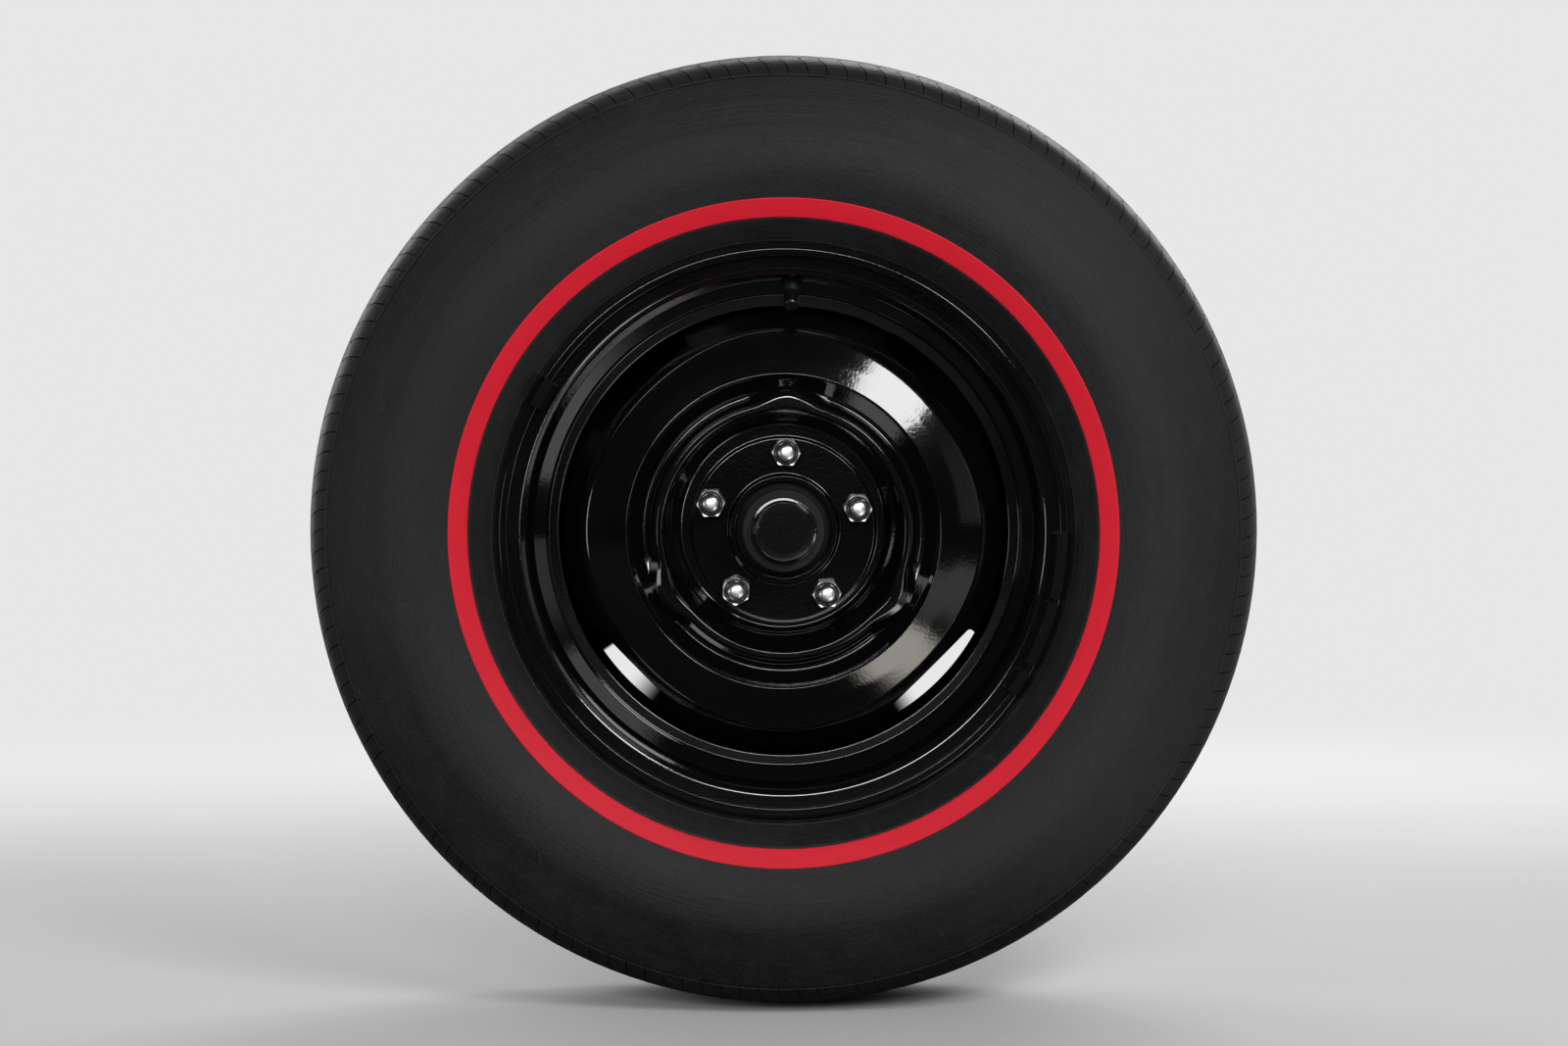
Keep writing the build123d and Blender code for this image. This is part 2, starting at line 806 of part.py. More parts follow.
# Sections, as (x, station, height, width along the axle, height of section)
arm_table = [
    (bolt_x + 8.5, arm_back + 6.0, -8.0, arm_plate, 40.0),
    (90.0, -121.0, -42.0, 15.0, 24.0),
    (arm_eye_x - 10.0, arm_eye_station + 4.0, arm_eye_height + 2.0, 18.0, 16.0),
]
arm_eye_plane = Plane(origin=arm_spot(arm_eye_x, arm_eye_station, arm_eye_height))
with BuildPart() as steering_arm:
    with BuildSketch(station(arm_back)):
        with Locations((bolt_x + arm_pad_shift, 0)):
            RectangleRounded(*arm_pad)
    extrude(amount=arm_plate)
    for x, s, height, deep, tall in arm_table:
        with BuildSketch(Plane(origin=arm_spot(x, s, height), x_dir=(0, 1, 0), z_dir=(1, 0, 0))):
            RectangleRounded(deep, tall, arm_corner)
    loft(ruled=True)
    with BuildSketch(arm_eye_plane):
        Circle(arm_eye)
    extrude(amount=arm_eye_length / 2, both=True)
    with BuildSketch(arm_eye_plane):
        Circle(arm_bore)
    extrude(amount=arm_eye_length, both=True, mode=Mode.SUBTRACT)
    with BuildSketch(station(arm_back)):
        with Locations((bolt_x, bolt_x), (bolt_x, -bolt_x)):
            Circle(plate_bolt_radius)
    extrude(amount=arm_plate, mode=Mode.SUBTRACT)
steering_arm.part.label = "steering_arm"
export_step(steering_arm.part, "parts/steering_arm.step")


# Bolts through backing plate, knuckle flange and, on one side, the steering arm, with nuts outboard
# As (name, places from the axle, station under the heads)
bolt_table = [
    ("arm_bolts", [(bolt_x, bolt_x), (bolt_x, -bolt_x)], arm_back),
    ("plate_bolts", [(-bolt_x, bolt_x), (-bolt_x, -bolt_x)], knuckle_back),
]
for bolt_name, bolt_spots, head_seat in bolt_table:
    with BuildPart() as bolts:
        with BuildSketch(station(head_seat - plate_bolt_head)):
            with Locations(*bolt_spots):
                RegularPolygon(plate_bolt_flats / 2, 6, major_radius=False)
        extrude(amount=plate_bolt_head)
        with BuildSketch(station(head_seat)):
            with Locations(*bolt_spots):
                Circle(plate_bolt_radius)
        extrude(amount=plate_centre - head_seat)
        with BuildSketch(station(plate_centre)):
            with Locations(*bolt_spots):
                RegularPolygon(plate_bolt_flats / 2, 6, major_radius=False)
        extrude(amount=plate_bolt_head)
    bolts.part.label = bolt_name
    export_step(bolts.part, "parts/" + bolt_name + ".step")


# Wheel cylinder's hose port and bleed screw, and the adjuster slot's plug, on the plate's back
port_end = plate_rear - 18.0
with BuildPart() as hose_port:
    with BuildSketch(station(port_end)):
        with Locations(hose_spot):
            Circle(9.0)
    extrude(amount=plate_rear - port_end)
    with BuildSketch(station(port_end)):
        with Locations(hose_spot):
            Circle(4.8)
    extrude(amount=12.0, mode=Mode.SUBTRACT)
hose_port.part.label = "hose_port"
export_step(hose_port.part, "parts/hose_port.step")

bleed_foot = plate_rear - 8.0
bleed_end = plate_rear - 20.0
with BuildPart() as bleed_screw:
    with BuildSketch(station(bleed_foot)):
        with Locations(bleed_spot):
            RegularPolygon(5.0, 6, major_radius=False)
    extrude(amount=plate_rear - bleed_foot)
    with BuildSketch(station(bleed_end)):
        with Locations(bleed_spot):
            Circle(3.2)
    extrude(amount=bleed_foot - bleed_end)
bleed_screw.part.label = "bleed_screw"
export_step(bleed_screw.part, "parts/bleed_screw.step")

plug_end = plate_rear - 3.0
with BuildPart() as adjuster_plug:
    with BuildSketch(station(plug_end)):
        with Locations(plug_spot):
            SlotOverall(*plug_slot, rotation=plug_lean)
    extrude(amount=plate_rear - plug_end)
adjuster_plug.part.label = "adjuster_plug"
export_step(adjuster_plug.part, "parts/adjuster_plug.step")
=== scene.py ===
import math

import bmesh
import bpy
from mathutils import Matrix, Vector


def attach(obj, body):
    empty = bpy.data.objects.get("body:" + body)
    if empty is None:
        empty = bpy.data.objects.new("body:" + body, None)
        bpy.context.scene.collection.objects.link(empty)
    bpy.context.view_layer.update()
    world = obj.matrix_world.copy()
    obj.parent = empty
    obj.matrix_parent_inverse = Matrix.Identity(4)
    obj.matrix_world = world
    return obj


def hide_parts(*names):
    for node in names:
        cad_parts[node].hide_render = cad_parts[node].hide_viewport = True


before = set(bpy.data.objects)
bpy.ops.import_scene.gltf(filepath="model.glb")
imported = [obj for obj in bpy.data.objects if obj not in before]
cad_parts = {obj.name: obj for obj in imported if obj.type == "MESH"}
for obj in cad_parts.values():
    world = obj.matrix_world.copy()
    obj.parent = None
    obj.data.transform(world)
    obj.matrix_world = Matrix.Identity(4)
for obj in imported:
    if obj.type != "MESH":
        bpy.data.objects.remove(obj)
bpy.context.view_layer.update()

scene = bpy.context.scene
scene.view_settings.view_transform = "Standard"

# places are angles in degrees as seen from outboard, radii in mm from the axle, and stations in mm along it,
# which start at the wheel's mounting face and grow outboard, towards -Y
mm = 0.001
axleHeight = 0.095  # the axle above the frame's origin
faceY = -0.142  # the mounting face
rimMid = -15.0  # the station of the rim's middle
studs = {"count": 5, "circle": 57.15, "turn": 88.1}


def place(angle, radius, station):
    turn = math.radians(angle)
    return Vector((
        radius * mm * math.cos(turn), faceY - station * mm, axleHeight + radius * mm * math.sin(turn)))


def rounded(points, steps, closed=False):
    # points are (station, radius) or (station, radius, corner)
    out = []
    count = len(points)
    for i, point in enumerate(points):
        corner = point[2] if len(point) > 2 else 0
        if corner == 0 or (not closed and i in (0, count - 1)):
            out.append((point[0], point[1]))
            continue
        here = Vector(point[:2])
        back = Vector(points[i - 1][:2]) - here
        ahead = Vector(points[(i + 1) % count][:2]) - here
        room = 0.49 * min(back.length, ahead.length)  # two corners share a side
        back.normalize()
        ahead.normalize()
        half = back.angle(ahead) / 2
        if half > math.radians(89.2):  # all but straight
            out.append((point[0], point[1]))
            continue
        cut = min(corner / math.tan(half), room)
        radius = cut * math.tan(half)
        centre = here + (back + ahead).normalized() * (radius / math.sin(half))
        start = here + back * cut - centre
        end = here + ahead * cut - centre
        sweep = start.angle_signed(end)
        first = math.atan2(start.y, start.x)
        for k in range(steps + 1):
            angle = first - sweep * k / steps
            out.append((centre.x + radius * math.cos(angle), centre.y + radius * math.sin(angle)))
    return out


def offsetLine(line, thick):
    # a copy of the line set off to the left of its run, with mitred corners
    lefts = []
    for a, b in zip(line, line[1:]):
        length = math.hypot(b[0] - a[0], b[1] - a[1])
        lefts.append(((a[1] - b[1]) / length, (b[0] - a[0]) / length))
    lefts = [lefts[0], *lefts, lefts[-1]]
    far = []
    for spot, before, after in zip(line, lefts, lefts[1:]):
        reach = thick / (1 + before[0] * after[0] + before[1] * after[1])
        far.append((spot[0] + reach * (before[0] + after[0]), spot[1] + reach * (before[1] + after[1])))
    return far


def sheetLoop(line, thick):
    # there along the line and back along its offset, each corner kept
    flat = offsetLine([(p[0], p[1]) for p in line], thick)
    return line + [(*spot, p[2]) for spot, p in zip(flat, line)][::-1]


def objectOf(name, work):
    # a linked object from a bmesh, which is freed
    mesh = bpy.data.meshes.new(name)
    work.to_mesh(mesh)
    work.free()
    piece = bpy.data.objects.new(name, mesh)
    scene.collection.objects.link(piece)
    return piece


def finishMesh(name, mesh, smoothAngle, recalc=True):
    if recalc:
        work = bmesh.new()
        work.from_mesh(mesh)
        bmesh.ops.remove_doubles(work, verts=work.verts, dist=1e-6)
        bmesh.ops.recalc_face_normals(work, faces=work.faces)
        work.to_mesh(mesh)
        work.free()
    mesh.polygons.foreach_set("use_smooth", [True] * len(mesh.polygons))
    mesh.set_sharp_from_angle(angle=math.radians(smoothAngle))
    piece = bpy.data.objects.new(name, mesh)
    scene.collection.objects.link(piece)
    return piece


def lathe(name, profile, steps, shift=None, smoothAngle=40):
    # a closed profile of (station, radius) turned about the axle, each point moved by shift, if there is one
    verts, faces = [], []
    count = len(profile)
    for i in range(steps):
        angle = 360.0 * i / steps
        for station, radius in profile:
            s, r = shift(angle, station, radius) if shift else (station, radius)
            verts.append(place(angle, r, s))
        j = (i + 1) % steps
        for k in range(count):
            m = (k + 1) % count
            faces.append((i * count + k, j * count + k, j * count + m, i * count + m))
    mesh = bpy.data.meshes.new(name)
    mesh.from_pydata(verts, [], faces)
    return finishMesh(name, mesh, smoothAngle)


def applyModifiers(piece):
    bpy.context.view_layer.update()
    mesh = bpy.data.meshes.new_from_object(piece.evaluated_get(bpy.context.evaluated_depsgraph_get()))
    piece.modifiers.clear()
    old = piece.data
    piece.data = mesh
    mesh.name = old.name
    bpy.data.meshes.remove(old)


def weighNormals(piece):
    # large faces keep their own shading up to the small corners beside them
    modifier = piece.modifiers.new("weigh", "WEIGHTED_NORMAL")
    modifier.keep_sharp = True
    applyModifiers(piece)


def cutWith(piece, build):
    # an exact cut with the shapes that build(work) makes
    work = bmesh.new()
    build(work)
    bmesh.ops.recalc_face_normals(work, faces=work.faces)
    cutter = objectOf("cutter", work)
    modifier = piece.modifiers.new("cut", "BOOLEAN")
    modifier.operation = "DIFFERENCE"
    modifier.solver = "EXACT"
    modifier.object = cutter
    applyModifiers(piece)
    bpy.data.objects.remove(cutter)


def mergeInto(name, pieces, smoothAngle):
    # one mesh from several, each with its own material kept
    work = bmesh.new()
    slots = []
    for piece in pieces:
        start = len(work.faces)
        work.from_mesh(piece.data)
        work.faces.ensure_lookup_table()
        mats = list(piece.data.materials)
        for face in work.faces[start:]:
            mat = mats[face.material_index] if mats else None
            if mat not in slots:
                slots.append(mat)
            face.material_index = slots.index(mat)
    mesh = bpy.data.meshes.new(name)
    work.to_mesh(mesh)
    work.free()
    for mat in slots:
        mesh.materials.append(mat)
    for piece in pieces:
        bpy.data.objects.remove(piece)
    return finishMesh(name, mesh, smoothAngle, recalc=False)


def settle(piece, body, replaced):
    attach(piece, body)
    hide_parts(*replaced)


def dress(piece, material, body, replaced):
    piece.data.materials.clear()
    piece.data.materials.append(material)
    settle(piece, body, replaced)


class Level:
    # a node's output that takes sums and products
    def __init__(self, maker, socket):
        self.maker = maker
        self.socket = socket

    def work(self, operation, *others, clamp=False):
        values = dict(enumerate((self, *others)))
        settings = {"operation": operation, "use_clamp": clamp}
        return self.maker.node("ShaderNodeMath", settings, values)["Value"]

    def __add__(self, other):
        return self.work("ADD", other)

    def __sub__(self, other):
        return self.work("SUBTRACT", other)

    def __mul__(self, other):
        return self.work("MULTIPLY", other)

    def __truediv__(self, other):
        return self.work("DIVIDE", other)

    def __pow__(self, other):
        return self.work("POWER", other)

    def __rsub__(self, other):
        return (self * -1.0) + other

    __radd__ = __add__
    __rmul__ = __mul__

    def clamped(self):
        return self.work("ADD", 0.0, clamp=True)


class Made:
    # a node, whose outputs are read by name
    def __init__(self, maker, node):
        self.maker = maker
        self.made = node

    def __getitem__(self, name):
        return Level(self.maker, self.made.outputs[name])


class Finish:
    # one material, and the calls that add its nodes
    def __init__(self, name):
        self.material = bpy.data.materials.new(name)
        self.material.use_nodes = True
        self.tree = self.material.node_tree
        self.tree.nodes.clear()
        self.coords = self.node("ShaderNodeTexCoord")["Object"]
        parts = self.node("ShaderNodeSeparateXYZ", {}, {"Vector": self.coords})
        self.x, self.y, self.z = parts["X"], parts["Y"], parts["Z"]

    def fill(self, socket, value):
        # a link, a colour without its alpha, or a plain value
        if isinstance(value, Level):
            self.tree.links.new(value.socket, socket)
        elif socket.type == "RGBA" and len(value) == 3:
            socket.default_value = (*value, 1.0)
        else:
            socket.default_value = value

    def node(self, kind, settings=None, values=None):
        node = self.tree.nodes.new(kind)
        for key, value in (settings or {}).items():
            setattr(node, key, value)
        for key, value in (values or {}).items():
            self.fill(node.inputs[key], value)
        return Made(self, node)

    def grain(self, scale, detail=3.0, roughness=0.55, distortion=0.0, vector=None):
        return self.node("ShaderNodeTexNoise", {}, {
            "Vector": vector or self.coords, "Scale": scale, "Detail": detail,
            "Roughness": roughness, "Distortion": distortion})["Fac"]

    def axleDistance(self):
        height = self.z - axleHeight
        return (self.x * self.x + height * height) ** 0.5

    def axleRadius(self):
        # in mm
        return self.axleDistance() * 1000.0

    def axleAngle(self):
        return (self.z - axleHeight).work("ARCTAN2", self.x)

    def polar(self, perRadius, perTurn, perDepth=0.0):
        # coordinates for a grain that runs round the axle
        away = self.axleDistance()
        return self.node("ShaderNodeCombineXYZ", {}, {
            "X": (self.x / away) * perTurn, "Y": ((self.z - axleHeight) / away) * perTurn,
            "Z": self.axleRadius() * perRadius + self.y * perDepth * 1000.0})["Vector"]

    def step(self, value, low, high, start=0.0, end=1.0):
        return self.node("ShaderNodeMapRange", {"interpolation_type": "SMOOTHSTEP"}, {
            "Value": value, "From Min": low, "From Max": high, "To Min": start, "To Max": end})["Result"]

    def blend(self, share, first, second):
        # two colours; a Mix node's inputs 0, 6 and 7 are its factor and its colours
        mixed = self.node("ShaderNodeMix", {"data_type": "RGBA"}, {0: share, 6: first, 7: second})
        return mixed[2]

    def bump(self, height, strength, distance):
        values = {"Height": height, "Strength": strength, "Distance": distance}
        return self.node("ShaderNodeBump", {}, values)["Normal"]

    def close(self, **values):
        # the surface, from socket names with _ for a space
        settings = {key.replace("_", " "): value for key, value in values.items()}
        surface = self.node("ShaderNodeBsdfPrincipled", {}, settings)["BSDF"]
        self.node("ShaderNodeOutputMaterial", {}, {"Surface": surface})
        return self.material


print("stage: camera, floor and light")

viewpoint = {
    "elevation": 2.3, "distance": 3.0, "aimX": 0.0003, "aimZ": 0.1004, "aimStation": 22.0, "lens": 93.5,
    "sensor": 36.0, "clip": 60.0,
}

camera = bpy.data.objects.new("camera", bpy.data.cameras.new("camera"))
camera.data.sensor_width = viewpoint["sensor"]
camera.data.lens = viewpoint["lens"]
camera.data.clip_end = viewpoint["clip"]
lift = math.radians(viewpoint["elevation"])
aim = Vector((viewpoint["aimX"], faceY - viewpoint["aimStation"] * mm, viewpoint["aimZ"]))
camera.location = aim + Vector((0, -math.cos(lift), math.sin(lift))) * viewpoint["distance"]
camera.rotation_euler = (math.pi / 2 - lift, 0, 0)
scene.collection.objects.link(camera)
scene.camera = camera


# the floor fades into the pale backdrop between fadeFrom and fadeTo, in metres from the origin; frontShade,
# aheadShade, sideShade and rightShade are what gloss sees of the sky, in the parts that skyEdges gives
studio = {
    "floorDrop": 0.2554, "floorShade": 0.68, "floorMottle": 0.05, "floorBounce": 0.35, "floorSheen": 0.07,
    "pale": 0.80, "reach": 30.0, "fadeFrom": 0.8, "fadeTo": 2.4, "rearFrom": -0.5, "rearTo": 0.2,
    "frontShade": 0.020, "aheadShade": 0.13, "sideShade": 0.85, "rightShade": 0.40, "fill": 0.10,
}
# bright places of the floor, pools of painted light that glow and that only the first gloss of a ray shows,
# as (x, y, half width, half depth, strength, warmth)
floorPools = [
    (1.00, -1.25, 0.60, 0.80, 0.55, 0.1),
    (0.05, -2.35, 0.95, 0.95, 0.10, 0.0),
    (0.85, -0.42, 0.62, 0.30, 1.0, 0.2),
    (0.31, -0.78, 0.16, 0.36, 5.0, 0.5),
]
poolEdge = (0.35, 1.25)  # a pool fades out between these shares of its size, squared
firstBounce = 1.5  # a glossy depth below this is the first gloss a ray meets


def warmed(warmth, green):
    # white that loses blue, and a little green, as it gets warmer
    return (1.0, 1.0 - green * warmth, 1.0 - 0.3 * warmth)


def firstGloss(path):
    return path["Glossy Depth"].work("LESS_THAN", firstBounce)


floorWork = bmesh.new()
bmesh.ops.create_circle(floorWork, cap_ends=True, segments=96, radius=studio["reach"])
bmesh.ops.translate(floorWork, verts=floorWork.verts, vec=(0, 0, -studio["floorDrop"]))
studioFloor = objectOf("studioFloor", floorWork)

floor = Finish("paleFloor")
away = (floor.x * floor.x + floor.y * floor.y) ** 0.5
far = floor.step(away, studio["fadeFrom"], studio["fadeTo"])
path = floor.node("ShaderNodeLightPath")
rearward = floor.step(floor.y, studio["rearFrom"], studio["rearTo"])
seen = (path["Is Camera Ray"] + (path["Is Glossy Ray"] + path["Is Transmission Ray"]) * rearward).clamped()
mottled = floor.grain(3.0, 4.0) * studio["floorMottle"] + (studio["floorShade"] - studio["floorMottle"] / 2)
# light that bounces off the floor is dimmed, and its gloss in front more
bounce = path["Is Camera Ray"] * (1.0 - studio["floorBounce"]) + studio["floorBounce"]
glossy = path["Is Glossy Ray"] * (1.0 - rearward) * (studio["floorBounce"] - studio["floorSheen"])
mottled = mottled * (bounce - glossy)
paint = floor.node("ShaderNodeCombineColor", {}, {0: mottled, 1: mottled, 2: mottled})["Color"]
poolLight = (0.0, 0.0, 0.0)
for poolX, poolY, halfWidth, halfDepth, strength, warmth in floorPools:
    acrossPool = (floor.x - poolX) / halfWidth
    alongPool = (floor.y - poolY) / halfDepth
    inPool = floor.step(acrossPool * acrossPool + alongPool * alongPool, *poolEdge, 1.0, 0.0)
    poolColour = tuple(strength * share for share in warmed(warmth, 0.09))
    poolLight = floor.blend(inPool, poolLight, poolColour)
poolLight = floor.blend(path["Is Glossy Ray"] * firstGloss(path), (0.0, 0.0, 0.0), poolLight)
matte = floor.node("ShaderNodeBsdfDiffuse", {}, {"Color": paint})["BSDF"]
glow = floor.node("ShaderNodeEmission", {}, {"Color": (1, 1, 1), "Strength": studio["pale"]})["Emission"]
top = floor.node("ShaderNodeMixShader", {}, {0: far * seen, 1: matte, 2: glow})["Shader"]
# the pools glow as painted light in the floor
pools = floor.node("ShaderNodeEmission", {}, {"Color": poolLight, "Strength": 1.0})["Emission"]
top = floor.node("ShaderNodeAddShader", {}, {0: top, 1: pools})["Shader"]
clear = floor.node("ShaderNodeBsdfTransparent")["BSDF"]
underside = floor.node("ShaderNodeNewGeometry")["Backfacing"]
both = floor.node("ShaderNodeMixShader", {}, {0: underside, 1: top, 2: clear})["Shader"]
floor.node("ShaderNodeOutputMaterial", {}, {"Surface": both})
studioFloor.data.materials.append(floor.material)

world = bpy.data.worlds.new("studioWorld")
scene.world = world
world.use_nodes = True


class WorldFinish(Finish):
    def __init__(self):
        self.tree = world.node_tree
        self.tree.nodes.clear()


# parts of the sky, each within its edges, as (axis of the direction, from, to); 1.0, 0.0 marks where one ends
skyEdges = {
    "behind": [("Y", 0.0, 0.5)],
    "ahead": [("Y", -0.985, -0.955, 1.0, 0.0)],
    "side": [("X", 0.48, 0.60), ("Z", 0.40, 0.47), ("Y", -0.48, -0.28)],
    "rightward": [("X", 0.25, 0.70), ("Z", 0.18, 0.44, 1.0, 0.0), ("Y", -0.86, -0.66)],
}

sky = WorldFinish()
direction = sky.node("ShaderNodeSeparateXYZ", {}, {"Vector": sky.node("ShaderNodeTexCoord")["Generated"]})
rays = sky.node("ShaderNodeLightPath")


def skyPart(name):
    # 1 in that part of the sky and 0 outside it
    inside = None
    for axis, *edge in skyEdges[name]:
        share = sky.step(direction[axis], *edge)
        inside = share if inside is None else inside * share
    return inside


shiny = skyPart("behind") * (studio["pale"] - studio["frontShade"]) + studio["frontShade"]
shiny = shiny + skyPart("ahead") * (studio["aheadShade"] - studio["frontShade"])
shiny = shiny.work("MAXIMUM", skyPart("side") * firstGloss(rays) * studio["sideShade"])
shiny = shiny.work("MAXIMUM", skyPart("rightward") * studio["rightShade"])
lit = rays["Is Glossy Ray"] * shiny + (1.0 - rays["Is Glossy Ray"]) * studio["fill"]
visible = (rays["Is Camera Ray"] + rays["Is Transmission Ray"]).clamped()
level = visible * studio["pale"] + (1.0 - visible) * lit
backdrop = sky.node("ShaderNodeBackground", {}, {"Color": (1, 1, 1), "Strength": level})["Background"]
sky.node("ShaderNodeOutputWorld", {}, {"Surface": backdrop})

# as (name, shape, direction round the axle, tilt off the axle, distance, width, height, watts, warmth)
lamps = [
    ("keyBox", "ELLIPSE", 49.0, 37.0, 2.6, 0.72, 1.25, 34.0, 0.0),
    ("topBox", "RECTANGLE", 107.0, 14.0, 4.6, 1.77, 0.85, 102.0, 0.0),
    ("rightBox", "RECTANGLE", -25.0, 14.0, 2.6, 0.25, 0.40, 2.5, 0.1),
    ("leftBox", "RECTANGLE", 183.0, 58.0, 2.6, 0.9, 0.9, 10.0, 0.0),
    ("backBox", "RECTANGLE", 60.0, 150.0, 3.0, 1.8, 1.8, 60.0, 0.0),
    ("backFill", "RECTANGLE", 150.0, 140.0, 3.0, 1.8, 1.8, 32.0, 0.0),
]
outboard = Vector((0, -1, 0))
lampTarget = Vector((0, -0.17, axleHeight))
for lampName, shape, around, tilt, distance, width, height, watts, warmth in lamps:
    lamp = bpy.data.objects.new(lampName, bpy.data.lights.new(lampName, "AREA"))
    lamp.data.shape = shape
    lamp.data.size = width
    lamp.data.size_y = height
    lamp.data.energy = watts
    lamp.data.color = warmed(warmth, 0.12)
    outwards = Vector((math.cos(math.radians(around)), 0, math.sin(math.radians(around))))
    heading = outwards * math.sin(math.radians(tilt)) + outboard * math.cos(math.radians(tilt))
    lamp.location = lampTarget + heading * distance
    sideways = outboard.cross(outwards).normalized()
    lengthwise = heading.cross(sideways)
    lamp.rotation_euler = Matrix((sideways, lengthwise, heading)).transposed().to_euler()
    scene.collection.objects.link(lamp)


# a dark card inside the wheel, behind its windows, as it is dark there in the photograph: painted shade, a
# sheet standing in for the shade there; the camera sees through it from behind, and in its openings, as
# (from, to, softness before, softness after) in degrees
card = {
    "station": -95.0, "inner": 136.0, "outer": 186.0, "steps": 180, "shade": (0.004, 0.0045, 0.005),
    "clear": [(215.5, 226.0, 0.8, 8.0), (307.0, 336.0, 6.0, 1.0)], "overlap": 0.2,
}

cardWork = bmesh.new()
cardRings = []
for radius in (card["inner"], card["outer"]):
    spots = [place(360.0 * k / card["steps"], radius, card["station"]) for k in range(card["steps"])]
    cardRings.append([cardWork.verts.new(spot) for spot in spots])
for k in range(card["steps"]):
    m = (k + 1) % card["steps"]
    cardWork.faces.new((cardRings[0][k], cardRings[0][m], cardRings[1][m], cardRings[1][k]))
cardWork.normal_update()
if cardWork.faces[:][0].normal.y > 0:
    bmesh.ops.reverse_faces(cardWork, faces=cardWork.faces)
windowCard = objectOf("windowCard", cardWork)

# painted shade: the card is dark matte where it is closed, and only the camera sees through its openings and
# its back
darkCard = Finish("darkCard")
cardTurn = darkCard.axleAngle() * (180.0 / math.pi)
cardTurn = cardTurn + (1.0 - cardTurn.work("GREATER_THAN", 0.0)) * 360.0
opening = None
for first, last, softFirst, softLast in card["clear"]:
    gap = (darkCard.step(cardTurn, first - softFirst, first + softFirst * card["overlap"])
           * darkCard.step(cardTurn, last - softLast * card["overlap"], last + softLast, 1.0, 0.0))
    opening = gap if opening is None else opening + gap
backOfCard = darkCard.node("ShaderNodeNewGeometry")["Backfacing"]
cardSeen = darkCard.node("ShaderNodeLightPath")["Is Camera Ray"]
dark = darkCard.node("ShaderNodeBsdfDiffuse", {}, {"Color": card["shade"]})["BSDF"]
through = darkCard.node("ShaderNodeBsdfTransparent")["BSDF"]
cardLook = darkCard.node("ShaderNodeMixShader", {}, {
    0: (opening + backOfCard).clamped() * cardSeen, 1: dark, 2: through})["Shader"]
darkCard.node("ShaderNodeOutputMaterial", {}, {"Surface": cardLook})
windowCard.data.materials.append(darkCard.material)


print("stage: materials")

# each layer of a finish lies over the ones before it, as (colour, share)
rubber = {
    "base": (0.0022, 0.0024, 0.0026), "smear": (0.0074, 0.0077, 0.0081),
    "mottle": ((0.0125, 0.0129, 0.0133), 0.35), "rings": ((0.014, 0.0144, 0.0150), 0.30),
    "scuff": ((0.040, 0.040, 0.041), 0.30), "grit": ((0.026, 0.0265, 0.027), 0.20),
    "tread": ((0.016, 0.0155, 0.015), 0.45), "treadFrom": 337.0, "treadTo": 345.0,
    "roughness": 0.38, "relief": 0.0007, "shine": 0.17,
}
stripePaint = {
    "base": (0.58, 0.012, 0.027), "blotch": (0.48, 0.009, 0.021), "dirt": ((0.28, 0.012, 0.016), 0.25),
    "roughness": 0.46, "relief": 0.0003, "shine": 0.12,
}
# the seam is the dark ring where a nut's dome leaves its hex, partly a dark joint and partly painted shade in
# that groove; stations below the foot's edge carry painted shade on the hex's sides and foot
chrome = {
    "base": (0.56, 0.56, 0.57), "cloud": (0.40, 0.40, 0.41), "pits": ((0.20, 0.19, 0.18), 0.6),
    "foot": ((0.10, 0.098, 0.095), 0.75), "seam": (0.006, 0.006, 0.006), "roughness": 0.27, "relief": 0.0004,
    "seamInside": (8.05, 8.25), "seamOutside": (9.05, 9.3), "seamStation": (19.0, 20.0),
    "footStation": (19.5, 21.0),
}
weightPaint = {"base": (0.0018, 0.0018, 0.0019), "chip": (0.30, 0.31, 0.32), "roughness": 0.60, "shine": 0.04}


def over(f, mask, layer, shade):
    # a layer's colour over the shade, by its mask
    colour, share = layer
    return f.blend(mask * share, shade, colour)


def rubberFinish():
    f = Finish("tyreRubber")
    radius = f.axleRadius()
    fine = f.grain(480.0, 4.0, 0.75)
    grit = f.step(f.grain(430.0, 3.0, 0.7), 0.47, 0.66)
    mottle = f.step(f.grain(34.0, 6.0, 0.72, 0.6), 0.42, 0.66)
    rings = f.grain(1.0, 4.0, 0.7, vector=f.polar(1.4, 0.6, 0.3))
    smear = f.grain(1.0, 4.0, 0.62, 0.6, vector=f.polar(0.03, 2.4, 0.01))
    scuff = f.step(f.grain(1.0, 6.0, 0.7, 1.2, vector=f.polar(0.05, 9.0, 0.02)), 0.58, 0.74)
    tread = f.step(radius, rubber["treadFrom"], rubber["treadTo"])
    shade = f.blend(smear, rubber["base"], rubber["smear"])
    layers = {"mottle": mottle, "rings": rings, "scuff": scuff, "grit": grit, "tread": tread}
    for name, mask in layers.items():
        shade = over(f, mask, rubber[name], shade)
    rough = rubber["roughness"] + smear * 0.12 + mottle * 0.06 + scuff * 0.10 + tread * 0.16 + rings * 0.05
    height = fine * 0.9 + rings * 1.1 + scuff * 0.4
    return f.close(Base_Color=shade, Roughness=rough, Normal=f.bump(height, 0.45, rubber["relief"]),
                   Specular_IOR_Level=rubber["shine"])


def stripeFinish():
    f = Finish("redStripeRubber")
    blotch = f.grain(1.0, 4.0, 0.6, 0.4, vector=f.polar(0.2, 6.0))
    fine = f.grain(700.0, 3.0)
    dirt = f.step(f.grain(1.0, 5.0, 0.7, 1.0, vector=f.polar(0.25, 14.0)), 0.60, 0.78)
    shade = over(f, dirt, stripePaint["dirt"], f.blend(blotch, stripePaint["base"], stripePaint["blotch"]))
    return f.close(Base_Color=shade, Roughness=stripePaint["roughness"] + blotch * 0.14,
                   Normal=f.bump(fine, 0.2, stripePaint["relief"]), Specular_IOR_Level=stripePaint["shine"])


